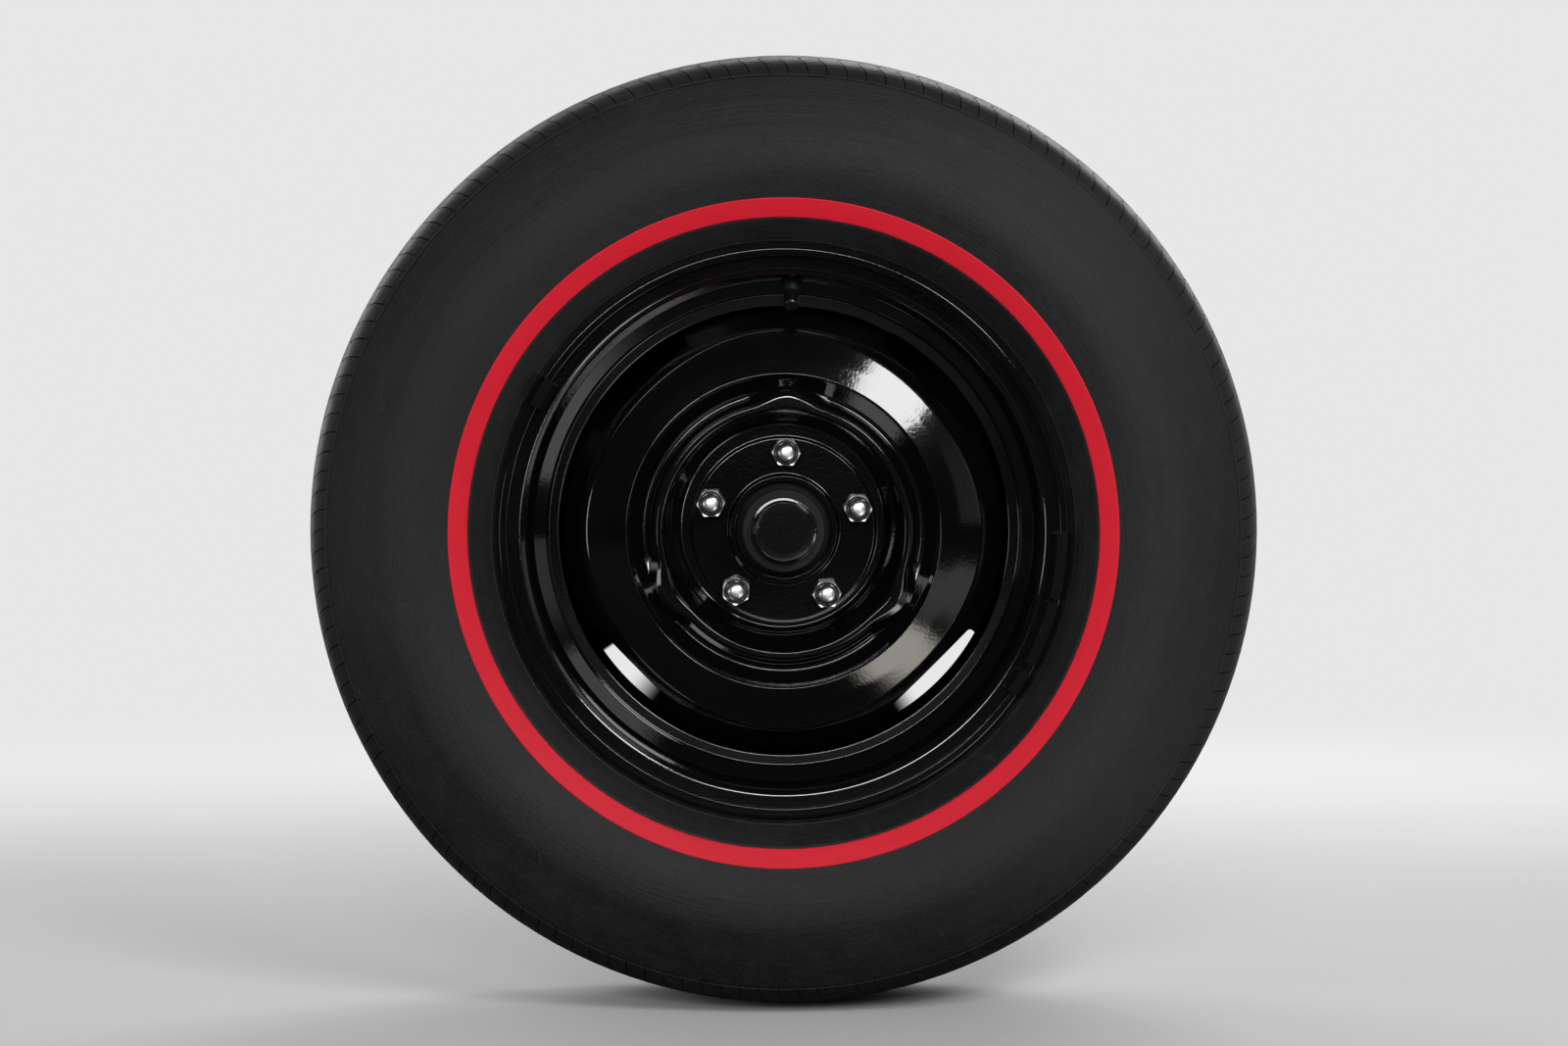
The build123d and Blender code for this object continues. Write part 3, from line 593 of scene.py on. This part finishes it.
def paintFinish(name, gloss, base, peel=0.12, dust=0.10, shine=0.5, coat=0.35):
    f = Finish(name)
    orange = f.grain(420.0, 2.0, 0.5)
    broad = f.grain(45.0, 3.0, 0.5)
    specks = f.step(f.grain(1300.0, 2.0, 0.5), 0.70, 0.78)
    haze = f.grain(16.0, 5.0, 0.65, 0.5)
    shade = f.blend(haze * 0.5, base, tuple(c * 1.7 + 0.001 for c in base))
    shade = f.blend(specks * dust, shade, (0.10, 0.10, 0.105))
    rough = gloss + haze * 0.06 + specks * 0.2
    normal = f.bump(orange * 0.8 + broad * 0.5, peel, 0.0006)
    return f.close(Base_Color=shade, Roughness=rough, Normal=normal, Specular_IOR_Level=shine,
                   Coat_Weight=coat, Coat_Roughness=0.06)


def chromeFinish():
    f = Finish("nutChrome")
    cloud = f.grain(180.0, 4.0, 0.6)
    pits = f.step(f.grain(1500.0, 2.0), 0.66, 0.72)
    # each nut's own radius, from the turn to the nearest stud
    part = 2 * math.pi / studs["count"]
    share = (f.axleAngle() - math.radians(studs["turn"])) / part
    away = (share - share.work("ROUND")) * part
    reach = f.axleRadius()
    along = reach * away.work("COSINE") - studs["circle"]
    across = reach * away.work("SINE")
    own = (along * along + across * across) ** 0.5
    station = f.y * -1000.0 + faceY * 1000.0
    # painted shade with a dark joint: the groove where the dome leaves its hex is darkened and loses its
    # metal
    seam = f.step(own, *chrome["seamInside"]) * f.step(own, *chrome["seamOutside"], 1.0, 0.0)
    seam = seam * f.step(station, *chrome["seamStation"])
    shade = f.blend(cloud, chrome["base"], chrome["cloud"])
    shade = over(f, pits, chrome["pits"], shade)
    # painted shade: the nut's hex sides and foot, below these stations, are darkened
    shade = over(f, f.step(station, *chrome["footStation"], 1.0, 0.0), chrome["foot"], shade)
    shade = f.blend(seam, shade, chrome["seam"])
    return f.close(Base_Color=shade, Metallic=1.0 - seam,
                   Roughness=chrome["roughness"] + cloud * 0.10 + pits * 0.2 + seam * 0.4,
                   Normal=f.bump(cloud, 0.08, chrome["relief"]))


def castFinish(name, base, rough, lumps, rust=0.0, shine=0.5):
    f = Finish(name)
    sand = f.grain(650.0, 3.0, 0.6)
    lump = f.grain(110.0, 4.0, 0.6)
    cloud = f.grain(24.0, 5.0, 0.65, 0.6)
    shade = f.blend(cloud, tuple(c * 0.75 for c in base), tuple(c * 1.35 for c in base))
    shade = f.blend(f.step(sand, 0.62, 0.75) * 0.4, shade, tuple(c * 2.2 + 0.01 for c in base))
    if rust:
        shade = f.blend(f.step(cloud + lump * 0.4, 0.72, 0.95) * rust, shade, (0.16, 0.065, 0.03))
    return f.close(Base_Color=shade, Roughness=rough + cloud * 0.15,
                   Normal=f.bump(sand * 0.6 + lump, lumps, 0.0012), Specular_IOR_Level=shine)


def boltFinish(name, base, rough):
    f = Finish(name)
    cloud = f.grain(130.0, 4.0, 0.6)
    fine = f.grain(1400.0, 2.0)
    shade = f.blend(cloud, tuple(c * 0.7 for c in base), base)
    shade = f.blend(f.step(cloud, 0.6, 0.75) * 0.5, shade, (0.17, 0.12, 0.08))
    return f.close(Base_Color=shade, Metallic=1.0, Roughness=rough + cloud * 0.18,
                   Normal=f.bump(fine + cloud, 0.18, 0.0004))


def weightFinish():
    f = Finish("weightPaint")
    chipNoise = f.grain(210.0, 4.0, 0.7, 0.8)
    edge = f.grain(60.0, 2.0)
    chip = f.step(chipNoise + edge * 0.3, 0.84, 0.88)
    soft = f.grain(900.0, 2.0)
    shade = f.blend(chip, weightPaint["base"], weightPaint["chip"])
    return f.close(Base_Color=shade, Metallic=chip * 0.85, Roughness=weightPaint["roughness"] - chip * 0.15,
                   Normal=f.bump(1.0 - chip + soft * 0.1, 0.5, 0.0005),
                   Specular_IOR_Level=weightPaint["shine"])


tyreRubber = rubberFinish()
stripeRubber = stripeFinish()
wheelBlack = paintFinish("wheelGlossBlack", 0.05, (0.0012, 0.0012, 0.0014), dust=0.04)
hubBlack = paintFinish("hubBlack", 0.06, (0.0030, 0.0031, 0.0032), peel=0.15, dust=0.12, shine=0.4, coat=0.0)
nutChrome = chromeFinish()
weightBlack = weightFinish()
valveRubber = paintFinish("valveRubber", 0.42, (0.004, 0.004, 0.0042), peel=0.2, shine=0.2, coat=0.0)
capPlastic = paintFinish("capPlastic", 0.26, (0.003, 0.003, 0.0032), peel=0.15, shine=0.3, coat=0.0)
drumIron = castFinish("drumIron", (0.050, 0.048, 0.046), 0.50, 0.6, rust=0.35)
hubIron = castFinish("hubIron", (0.011, 0.011, 0.0113), 0.52, 0.5, shine=0.10)
forgedBlack = castFinish("forgedSteel", (0.042, 0.041, 0.041), 0.46, 0.55, rust=0.12)
boltSteel = boltFinish("boltSteel", (0.42, 0.41, 0.38), 0.30)
bearingSteel = boltFinish("bearingSteel", (0.60, 0.60, 0.60), 0.16)
plateBlack = paintFinish("plateBlack", 0.34, (0.016, 0.016, 0.017), peel=0.3, dust=0.2)


print("stage: tyre")

# lean and wave bend the cuts between the tread's blocks, whose depth falls to edgeDepth past edgeFrom
tyre = {
    "radius": 349.9, "steps": 300, "smooth": 28, "blockSmooth": 30, "pitches": 148, "groove": 7.5, "cut": 0.9,
    "lean": 0.30, "wave": 0.11, "depth": 9.0, "edgeDepth": 2.0, "edgeFrom": 84.0, "edgeSlope": 0.55,
}
# how the tread falls from its middle to its edge, as (width of the band, fall across it, power)
crownBands = [(50.0, 2.8, 2), (32.0, 5.2, 1.3), (8.0, 4.2, 1.5), (7.2, 7.6, 1.1)]
# the ribs of one half, as places across the tread, from the middle rib outwards; a groove lies between two
ribPlaces = [
    [-14.0, -5.0, 5.0, 14.0],
    [14.0 + tyre["groove"], 28.0, 36.0, 45.5],
    [45.5 + tyre["groove"], 62.0, 72.0, 82.0, 86.5, 90.0, 93.5, 96.4],
]


def fromRim(points, side=1):
    return [(rimMid + side * p[0], *p[1:]) for p in points]


# half the casing, as (from the rim's middle, radius, corner): the face under the tread's blocks, the side,
# then the stripe's groove, the bead and back along the inside
underTread = [(0.0, 341.6), (20.0, 341.4), (50.0, 340.6), (79.0, 340.0)]
outerHalf = [
    (82.0, 336.5, 2.0), (92.0, 333.6, 4.0), (97.2, 329.8, 6.0), (103.4, 313.0, 40.0), (111.3, 287.0, 60.0),
    (111.5, 263.0, 60.0),
]
sideLine = [
    (104.5, 242.8, 30.0), (104.3, 242.0, 0.2), (103.6, 241.8, 0.2), (98.3, 228.8, 0.2), (98.6, 228.0, 0.3),
    (97.6, 226.2, 1.0), (89.5, 217.4, 12.0), (84.2, 212.4, 1.2), (83.6, 211.3, 0.5), (82.0, 211.0, 0.6),
    (80.6, 209.6, 0.8), (79.4, 208.6, 0.5), (76.4, 204.3, 0.5), (76.2, 192.1, 1.0), (74.2, 190.1, 1.0),
    (54.2, 190.1, 3.0), (62.0, 207.0, 16.0), (96.0, 249.0, 30.0), (95.5, 291.0, 30.0), (79.0, 322.0, 20.0),
    (40.0, 332.0, 20.0), (0.0, 333.5),
]
right = rounded(fromRim(underTread + outerHalf + sideLine), 4)
left = [(2 * rimMid - s, r) for s, r in right]
casing = lathe("tyreCasing", right + left[::-1][1:-1], tyre["steps"], smoothAngle=tyre["smooth"])


def crown(a):
    # the tread's radius at a place across it
    start, radius = 0.0, tyre["radius"]
    for width, fall, power in crownBands:
        radius -= fall * min(1.0, max(0.0, (abs(a) - start) / width)) ** power
        start += width
    return radius


def treadPitch():
    # one pitch of the tread about the axle at the origin, with bent cuts between its blocks
    work = bmesh.new()
    width = 2 * math.pi / tyre["pitches"]
    gap = tyre["cut"] / tyre["radius"]
    for rib in ribPlaces + [[-a for a in rib[::-1]] for rib in ribPlaces[1:]]:
        rows = []
        for a in rib:
            bend = tyre["lean"] * width * math.sin(a * tyre["wave"])
            past = max(0.0, abs(a) - tyre["edgeFrom"])
            drop = max(tyre["edgeDepth"], tyre["depth"] - past * tyre["edgeSlope"])
            for r in (crown(a), crown(a) - drop):
                for turn in (gap / 2 + bend, width - gap / 2 + bend):
                    rows.append(work.verts.new((r * mm * math.cos(turn), -a * mm, r * mm * math.sin(turn))))
        for i in range(len(rib) - 1):
            a, b = rows[4 * i:4 * i + 4], rows[4 * i + 4:4 * i + 8]
            for k, m in ((0, 1), (1, 3), (3, 2), (2, 0)):
                work.faces.new((a[k], a[m], b[m], b[k]))
        first, last = rows[:4], rows[-4:]
        work.faces.new((first[0], first[1], first[3], first[2]))
        work.faces.new((last[0], last[2], last[3], last[1]))
    bmesh.ops.recalc_face_normals(work, faces=work.faces)
    return objectOf("treadPitch", work)


class Grow:
    # a geometry tree: its inputs by name, and nodes from a kind, settings and sockets
    def __init__(self, name, inputs):
        self.tree = bpy.data.node_groups.new(name, "GeometryNodeTree")
        self.tree.is_modifier = True
        self.tree.interface.new_socket("Geometry", in_out="OUTPUT", socket_type="NodeSocketGeometry")
        self.keys = {}
        for label, kind in inputs:
            socket = self.tree.interface.new_socket(label, in_out="INPUT", socket_type="NodeSocket" + kind)
            self.keys[label] = socket.identifier
        self.given = self.tree.nodes.new("NodeGroupInput").outputs
        self.result = self.tree.nodes.new("NodeGroupOutput")

    def node(self, kind, settings=None, values=None):
        node = self.tree.nodes.new(kind)
        for key, value in (settings or {}).items():
            setattr(node, key, value)
        for key, value in (values or {}).items():
            if isinstance(value, bpy.types.NodeSocket):
                self.tree.links.new(value, node.inputs[key])
            else:
                node.inputs[key].default_value = value
        return node.outputs

    def math(self, operation, *values):
        return self.node("ShaderNodeMath", {"operation": operation}, dict(enumerate(values)))[0]

    def copies(self, points, turn):
        # the given piece on each point, turned about the axle's direction
        piece = self.node("GeometryNodeObjectInfo", {}, {"Object": self.given["Piece"], "As Instance": True})
        spin = self.node("ShaderNodeCombineXYZ", {}, {"Y": turn})
        return self.node("GeometryNodeInstanceOnPoints", {}, {
            "Points": points, "Instance": piece["Geometry"], "Rotation": spin[0]})[0]

    def finish(self, geometry):
        real = self.node("GeometryNodeRealizeInstances", {}, {0: geometry})[0]
        painted = self.node("GeometryNodeSetMaterial", {}, {
            "Geometry": real, "Material": self.given["Material"]})
        self.tree.links.new(painted[0], self.result.inputs[0])

    def mesh(self, name, values, smoothAngle):
        # a plain piece from the tree with these inputs
        holder = bpy.data.objects.new(name + "Holder", bpy.data.meshes.new(name + "Holder"))
        scene.collection.objects.link(holder)
        modifier = holder.modifiers.new("grow", "NODES")
        modifier.node_group = self.tree
        for label, value in values.items():
            modifier[self.keys[label]] = value
        bpy.context.view_layer.update()
        grown = holder.evaluated_get(bpy.context.evaluated_depsgraph_get())
        mesh = bpy.data.meshes.new_from_object(grown)
        mesh.name = name
        bpy.data.objects.remove(holder)
        return finishMesh(name, mesh, smoothAngle, recalc=False)


def aroundTree():
    # copies of one object about the axle, at even turns
    g = Grow("aroundAxle", [
        ("Piece", "Object"), ("Count", "Int"), ("Axle", "Vector"), ("Material", "Material")])
    points = g.node("GeometryNodePoints", {}, {"Count": g.given["Count"]})[0]
    index = g.node("GeometryNodeInputIndex")[0]
    turn = g.math("MULTIPLY", g.math("DIVIDE", index, g.given["Count"]), -2 * math.pi)
    moved = g.node("GeometryNodeTransform", {}, {
        "Geometry": g.copies(points, turn), "Translation": g.given["Axle"]})
    g.finish(moved[0])
    return g


pitch = treadPitch()
treadBlocks = aroundTree().mesh("treadBlocks", {
    "Piece": pitch, "Count": tyre["pitches"], "Axle": (0.0, faceY - rimMid * mm, axleHeight),
    "Material": tyreRubber}, tyre["blockSmooth"])
bpy.data.objects.remove(pitch)
casing.data.materials.append(tyreRubber)
tyrePiece = mergeInto("tyreRubberBody", [casing, treadBlocks], tyre["smooth"])
settle(tyrePiece, "wheel", ["tyre"])


# the stripe, a little proud of the casing's side, as (from the rim's middle, radius, corner)
stripeLine = [
    (97.9, 228.4, 0.0), (98.9, 228.1, 0.35), (99.5, 228.8, 0.35), (104.6, 241.2, 0.35), (104.5, 242.1, 0.35),
    (103.5, 242.0, 0.0),
]
stripe = lathe("redStripeRing", rounded(fromRim(stripeLine), 3), steps=360, smoothAngle=50)
dress(stripe, stripeRubber, "wheel", ["red_stripe"])


print("stage: rim and wheel disc")

rim = {"sheet": 3.0, "steps": 360}
# half the rim, from its lip to the well, as (from the rim's middle, radius, corner): the face towards the
# tyre, with the visible one set off from it towards the axle
rimHalf = [
    (87.3, 200.6, 0.5), (87.5, 205.8, 0.9), (85.6, 207.5, 1.2), (79.4, 207.5, 3.4), (76.5, 204.3, 3.4),
    (76.1, 192.1, 4.0), (74.2, 190.1, 4.0), (52.6, 185.8, 1.2), (45.6, 177.1, 1.5), (38.8, 175.4, 0.9),
    (38.2, 168.2, 1.2),
]
rimLoop = sheetLoop(fromRim(rimHalf) + fromRim(rimHalf, -1)[::-1], rim["sheet"])
rimPiece = lathe("rimSteel", rounded(rimLoop, 5, closed=True), rim["steps"])
weighNormals(rimPiece)
dress(rimPiece, wheelBlack, "wheel", ["rim"])


# a nub's values swell the ridge there, in mm: its inner wall, its top and foot outside, and how far the foot
# rises and its wall moves; the windows are cut where the disc's edge nears the rim
disc = {
    "sheet": 4.0, "steps": 420, "smooth": 40, "nubs": [88.3, -31.7, -151.7],
    "nubInner": 2.6, "nubTop": 8.4, "nubFoot": 7.2, "nubRise": 3.0, "nubWall": 1.6,
    "footLean": 2.8, "leanTurn": 105.0,
    "windows": 4, "windowTurn": 44.7, "windowWidth": 94.0, "windowCorner": 3.0, "windowInner": 148.0,
    "windowReach": 36.0, "windowStations": (-29.0, 51.0), "windowPinch": 2.4, "pinchRise": 0.33,
    "seatStations": (-1.0, 2.0, 7.0, 9.0), "seatRadii": (8.0, 8.0, 9.4, 9.9), "seatSteps": 40,
}
# the disc's outboard face, from its hub hole over pad, ridge, moat and crest to its edge in the rim's well
frontLine = [
    (12.0, 39.7, 0.4), (5.5, 39.7, 2.0), (4.0, 41.7, 1.0), (4.0, 67.2, 1.2), (2.9, 69.4, 1.2),
    (2.9, 76.4, 2.6), (36.8, 87.6, 2.0), (38.5, 89.4, 1.0), (38.5, 92.8, 1.0), (36.8, 95.0, 1.5),
    (27.5, 100.4, 1.6), (27.6, 103.2, 1.2), (38.4, 112.6, 1.5), (41.5, 115.2, 0.7), (38.4, 128.0, 60.0),
    (33.0, 143.6, 9.0), (14.0, 160.8, 12.0), (4.0, 165.2, 6.0), (-28.0, 165.2, 0.0),
]


def ease(value, low, high):
    # 0 to 1, level at both ends
    share = min(1.0, max(0.0, (value - low) / (high - low)))
    return share * share * (3.0 - 2.0 * share)


def discShift(angle, station, radius):
    # its numbers are degrees from a nub, and frontLine's radii and stations between which a shift comes in
    if 84.0 < radius < 114.0:
        # the ridge swells outwards at the three nubs that hold a cap
        away = min(abs((angle - nub + 180) % 360 - 180) for nub in disc["nubs"])
        top, foot = 1.0 - ease(away, 0.0, 16.0), 1.0 - ease(away, 2.0, 19.0)
        low = 1.0 - ease(station, 27.0, 36.6)
        inner = disc["nubInner"] * top * ease(radius, 84.0, 90.0)
        outer = disc["nubTop"] * top * (1.0 - low) + disc["nubFoot"] * foot * low
        swell = inner + (outer - inner) * ease(radius, 90.0, 95.2)
        fade = min(1.0, max(0.0, (103.2 - radius) / 2.8))
        wall = disc["nubWall"] * foot * low
        rise = disc["nubRise"] * foot * low * ease(radius, 96.0, 100.0)
        return station + rise, radius + wall + (swell - wall) * fade
    if 71.0 < radius < 88.0 and station < 34.0:
        # the foot of the ridge's inner wall stands off centre
        lean = disc["footLean"] * math.cos(math.radians(angle - disc["leanTurn"])) * ease(radius, 71.0, 75.5)
        return station, radius + lean * (1.0 - ease(station, 8.0, 34.0))
    if 124.0 < radius < 160.0:
        # the crown is drawn in at the windows
        turn = math.radians((angle - disc["windowTurn"]) * disc["windows"])
        pull = disc["windowPinch"] * math.cos(turn) * ease(radius, 124.0, 142.0)
        pull *= 1.0 - ease(radius, 146.0, 160.0)
        return station + disc["pinchRise"] * pull, radius - pull
    return station, radius


def roundedBox(width, depth, corner, steps=6):
    # outline about its middle
    points = []
    for cx, cy, first in ((1, 1, 0), (-1, 1, 90), (-1, -1, 180), (1, -1, 270)):
        for k in range(steps + 1):
            turn = math.radians(first + 90 * k / steps)
            points.append((cx * (width / 2 - corner) + corner * math.cos(turn),
                           cy * (depth / 2 - corner) + corner * math.sin(turn)))
    return points


def closeLoops(work, loops):
    # walls between the loops, and a face at each end
    count = len(loops[0])
    for a, b in zip(loops, loops[1:]):
        for k in range(count):
            m = (k + 1) % count
            work.faces.new((a[k], a[m], b[m], b[k]))
    work.faces.new(loops[0])
    work.faces.new(loops[-1])


def prism(work, outline, angle, radius, stations, scales=(1.0, 1.0)):
    # closed outline (radial, tangential) in mm, run along the axle
    turn = math.radians(angle)
    out, across = Vector((math.cos(turn), 0, math.sin(turn))), Vector((-math.sin(turn), 0, math.cos(turn)))
    loops = []
    for station, scale in zip(stations, scales):
        middle = place(angle, radius, station)
        spots = [middle + out * (u * scale * mm) + across * (v * scale * mm) for u, v in outline]
        loops.append([work.verts.new(spot) for spot in spots])
    closeLoops(work, loops)


def discCuts(work):
    # the windows, and a cone seat for each nut
    half = disc["windowReach"] / 2
    box = roundedBox(2 * half, disc["windowWidth"], disc["windowCorner"])
    for k in range(disc["windows"]):
        angle = disc["windowTurn"] + 360 / disc["windows"] * k
        prism(work, box, angle, disc["windowInner"] + half, disc["windowStations"])
    turns = [2 * math.pi * k / disc["seatSteps"] for k in range(disc["seatSteps"])]
    circle = [(math.cos(turn), math.sin(turn)) for turn in turns]
    for k in range(studs["count"]):
        angle = studs["turn"] + 360 / studs["count"] * k
        prism(work, circle, angle, studs["circle"], disc["seatStations"], disc["seatRadii"])


discLoop = rounded(sheetLoop(frontLine, disc["sheet"]), 6, closed=True)
discPiece = lathe("wheelDiscSteel", discLoop, disc["steps"], discShift, disc["smooth"])
cutWith(discPiece, discCuts)
discPiece.data.set_sharp_from_angle(angle=math.radians(disc["smooth"]))
weighNormals(discPiece)
dress(discPiece, wheelBlack, "wheel", ["wheel_disc"])


print("stage: nuts, hub and small pieces")

# the nut with the number turned stands with a corner where the others have a flat; wobble, in radians, is how
# far each may be turned off that
nut = {
    "flats": 19.0, "dome": 8.0, "shoulder": 20.6, "top": 27.4, "blunt": 0.2, "domePower": 0.6, "steps": 72,
    "domeSteps": 12, "smooth": 30, "turned": 2, "wobble": 0.07, "seed": 4,
}
# a round level is as (kind, station, radius), a hex one as (kind, station, inset)
nutLevels = [
    ("round", 2.0, 7.9), ("round", 7.0, 9.3), ("hex", 7.3, 0.1), ("hex", 7.6, 0.0), ("hex", 20.8, 0.0),
    ("hex", 21.2, 0.1), ("hex", 21.4, 0.42), ("round", 21.2, 9.0), ("round", 20.2, 8.6), ("round", 20.1, 8.2),
]
for k in range(1, nut["domeSteps"] + 1):
    turn = math.radians(90 * k / nut["domeSteps"])
    nutLevels.append(("round", nut["shoulder"] + (nut["top"] - nut["shoulder"]) * math.sin(turn),
                      nut["dome"] * max(0.01, math.cos(turn)) ** nut["domePower"]))


def nutMesh():
    # hex with chamfered corners under a domed cap, about its own axis at the origin, outboard along -Y
    corner = nut["flats"] / 2 / math.cos(math.radians(30))
    work = bmesh.new()
    loops = []
    for kind, level, size in nutLevels:
        loop = []
        for i in range(nut["steps"]):
            turn = 2 * math.pi * i / nut["steps"]
            radius = size
            if kind == "hex":
                away = turn % (math.pi / 3) - math.pi / 6
                radius = min((nut["flats"] / 2 - size) / math.cos(away), corner - nut["blunt"] - size)
            spot = (radius * mm * math.cos(turn), -level * mm, radius * mm * math.sin(turn))
            loop.append(work.verts.new(spot))
        loops.append(loop)
    closeLoops(work, loops)
    bmesh.ops.recalc_face_normals(work, faces=work.faces)
    return objectOf("nutShape", work)


def nutTree():
    # nuts on the studs' circle, one turned by a twelfth and each a little at random
    g = Grow("nutsOnStuds", [
        ("Piece", "Object"), ("Count", "Int"), ("Circle", "Float"), ("Start", "Float"), ("Turned", "Float"),
        ("Face", "Vector"), ("Material", "Material")])
    points = g.node("GeometryNodePoints", {}, {"Count": g.given["Count"]})[0]
    index = g.node("GeometryNodeInputIndex")[0]
    turn = g.math("MULTIPLY_ADD", g.math("DIVIDE", index, g.given["Count"]), 2 * math.pi, g.given["Start"])
    spot = g.node("ShaderNodeCombineXYZ", {}, {"X": g.math("COSINE", turn), "Z": g.math("SINE", turn)})[0]
    scaled = g.node("ShaderNodeVectorMath", {"operation": "SCALE"}, {0: spot, "Scale": g.given["Circle"]})[0]
    moved = g.node("ShaderNodeVectorMath", {"operation": "ADD"}, {0: scaled, 1: g.given["Face"]})[0]
    placed = g.node("GeometryNodeSetPosition", {}, {"Geometry": points, "Position": moved})[0]
    random = g.node("FunctionNodeRandomValue", {"data_type": "FLOAT"}, {
        2: -nut["wobble"], 3: nut["wobble"], "Seed": nut["seed"]})[1]
    angle = g.math("MULTIPLY_ADD", g.math("COMPARE", index, g.given["Turned"], 0.1), math.pi / 6, random)
    g.finish(g.copies(placed, angle))
    return g


nutShape = nutMesh()
nuts = nutTree().mesh("lugNutsChrome", {
    "Piece": nutShape, "Count": studs["count"], "Circle": studs["circle"] * mm,
    "Start": math.radians(studs["turn"]), "Turned": float(nut["turned"]), "Face": (0.0, faceY, axleHeight),
    "Material": nutChrome}, nut["smooth"])
bpy.data.objects.remove(nutShape)
settle(nuts, "wheel", ["lug_nuts"])


# as (station, radius, corner), like the two after it
capLoop = [
    (24.0, 22.5, 0.3), (31.8, 22.5, 0.3), (32.1, 24.6, 0.4), (33.5, 24.6, 0.6), (33.6, 21.5, 1.2),
    (52.9, 21.5, 0.3), (53.3, 21.2, 0.2), (53.3, 20.8, 0.2), (52.9, 20.5, 0.2), (52.8, 16.0, 3.0),
    (52.9, 0.0, 0.0), (51.2, 0.0, 0.0), (51.0, 12.0, 1.0), (50.6, 20.2, 0.5), (24.0, 20.3, 0.2),
]
dustCap = lathe("dustCapShell", rounded(capLoop, 4), steps=144)
dress(dustCap, hubBlack, "wheel", ["dust_cap"])

hubLoop = [
    (-62.0, 32.0, 1.5), (-22.0, 38.0, 4.0), (-16.0, 46.0, 5.0), (-16.0, 74.0, 1.0), (-6.0, 74.0, 1.0),
    (-6.0, 35.5, 0.2), (4.4, 35.5, 0.6), (10.0, 30.3, 1.5), (31.4, 30.3, 0.8), (32.0, 29.6, 0.6),
    (32.0, 22.6, 0.4), (2.0, 22.6, 0.2), (2.0, 19.5, 0.6), (-38.0, 19.5, 0.6), (-38.0, 25.0, 0.2),
    (-62.0, 25.0, 0.6),
]
hubPiece = lathe("hubCasting", rounded(hubLoop, 4, closed=True), steps=180)
dress(hubPiece, hubIron, "wheel", ["hub"])

drum = {"barrel": 134.0, "fin": 137.0, "fins": 3, "finFirst": -22.0, "finPitch": 12.0, "finWide": 4.0}
finLine = []
for k in range(drum["fins"]):
    outer = drum["finFirst"] - drum["finPitch"] * k
    inner = outer - drum["finWide"]
    finLine += [(outer, drum["barrel"], 1.5), (outer, drum["fin"], 0.8), (inner, drum["fin"], 0.8),
                (inner, drum["barrel"], 1.5)]
drumLoop = [
    (0.0, 35.7, 0.3), (0.0, 121.0, 5.0), (-8.0, drum["barrel"], 4.0), *finLine,
    (-63.0, drum["barrel"], 2.0), (-63.0, 138.5, 1.0), (-70.0, 138.5, 1.0), (-70.0, 127.0, 0.6),
    (-12.0, 127.0, 3.0), (-6.0, 119.0, 3.0), (-6.0, 35.7, 0.3),
]
drumPiece = lathe("brakeDrumCasting", rounded(drumLoop, 4, closed=True), steps=288)
dress(drumPiece, drumIron, "wheel", ["brake_drum"])


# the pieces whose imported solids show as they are
kept = [
    (valveRubber, ["valve_stem", "adjuster_plug"]),
    (capPlastic, ["valve_cap"]),
    (weightBlack, ["balance_weight_1", "balance_weight_2", "balance_weight_3", "balance_weight_4"]),
    (boltSteel, ["wheel_studs", "spindle_nut", "arm_bolts", "plate_bolts", "hose_port", "bleed_screw"]),
    (bearingSteel, ["outer_bearing", "inner_bearing"]),
    (forgedBlack, ["steering_knuckle", "steering_arm"]),
    (plateBlack, ["backing_plate"]),
]
for material, nodeNames in kept:
    for nodeName in nodeNames:
        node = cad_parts[nodeName]
        node.data.materials.clear()
        node.data.materials.append(material)

print("stage: done")
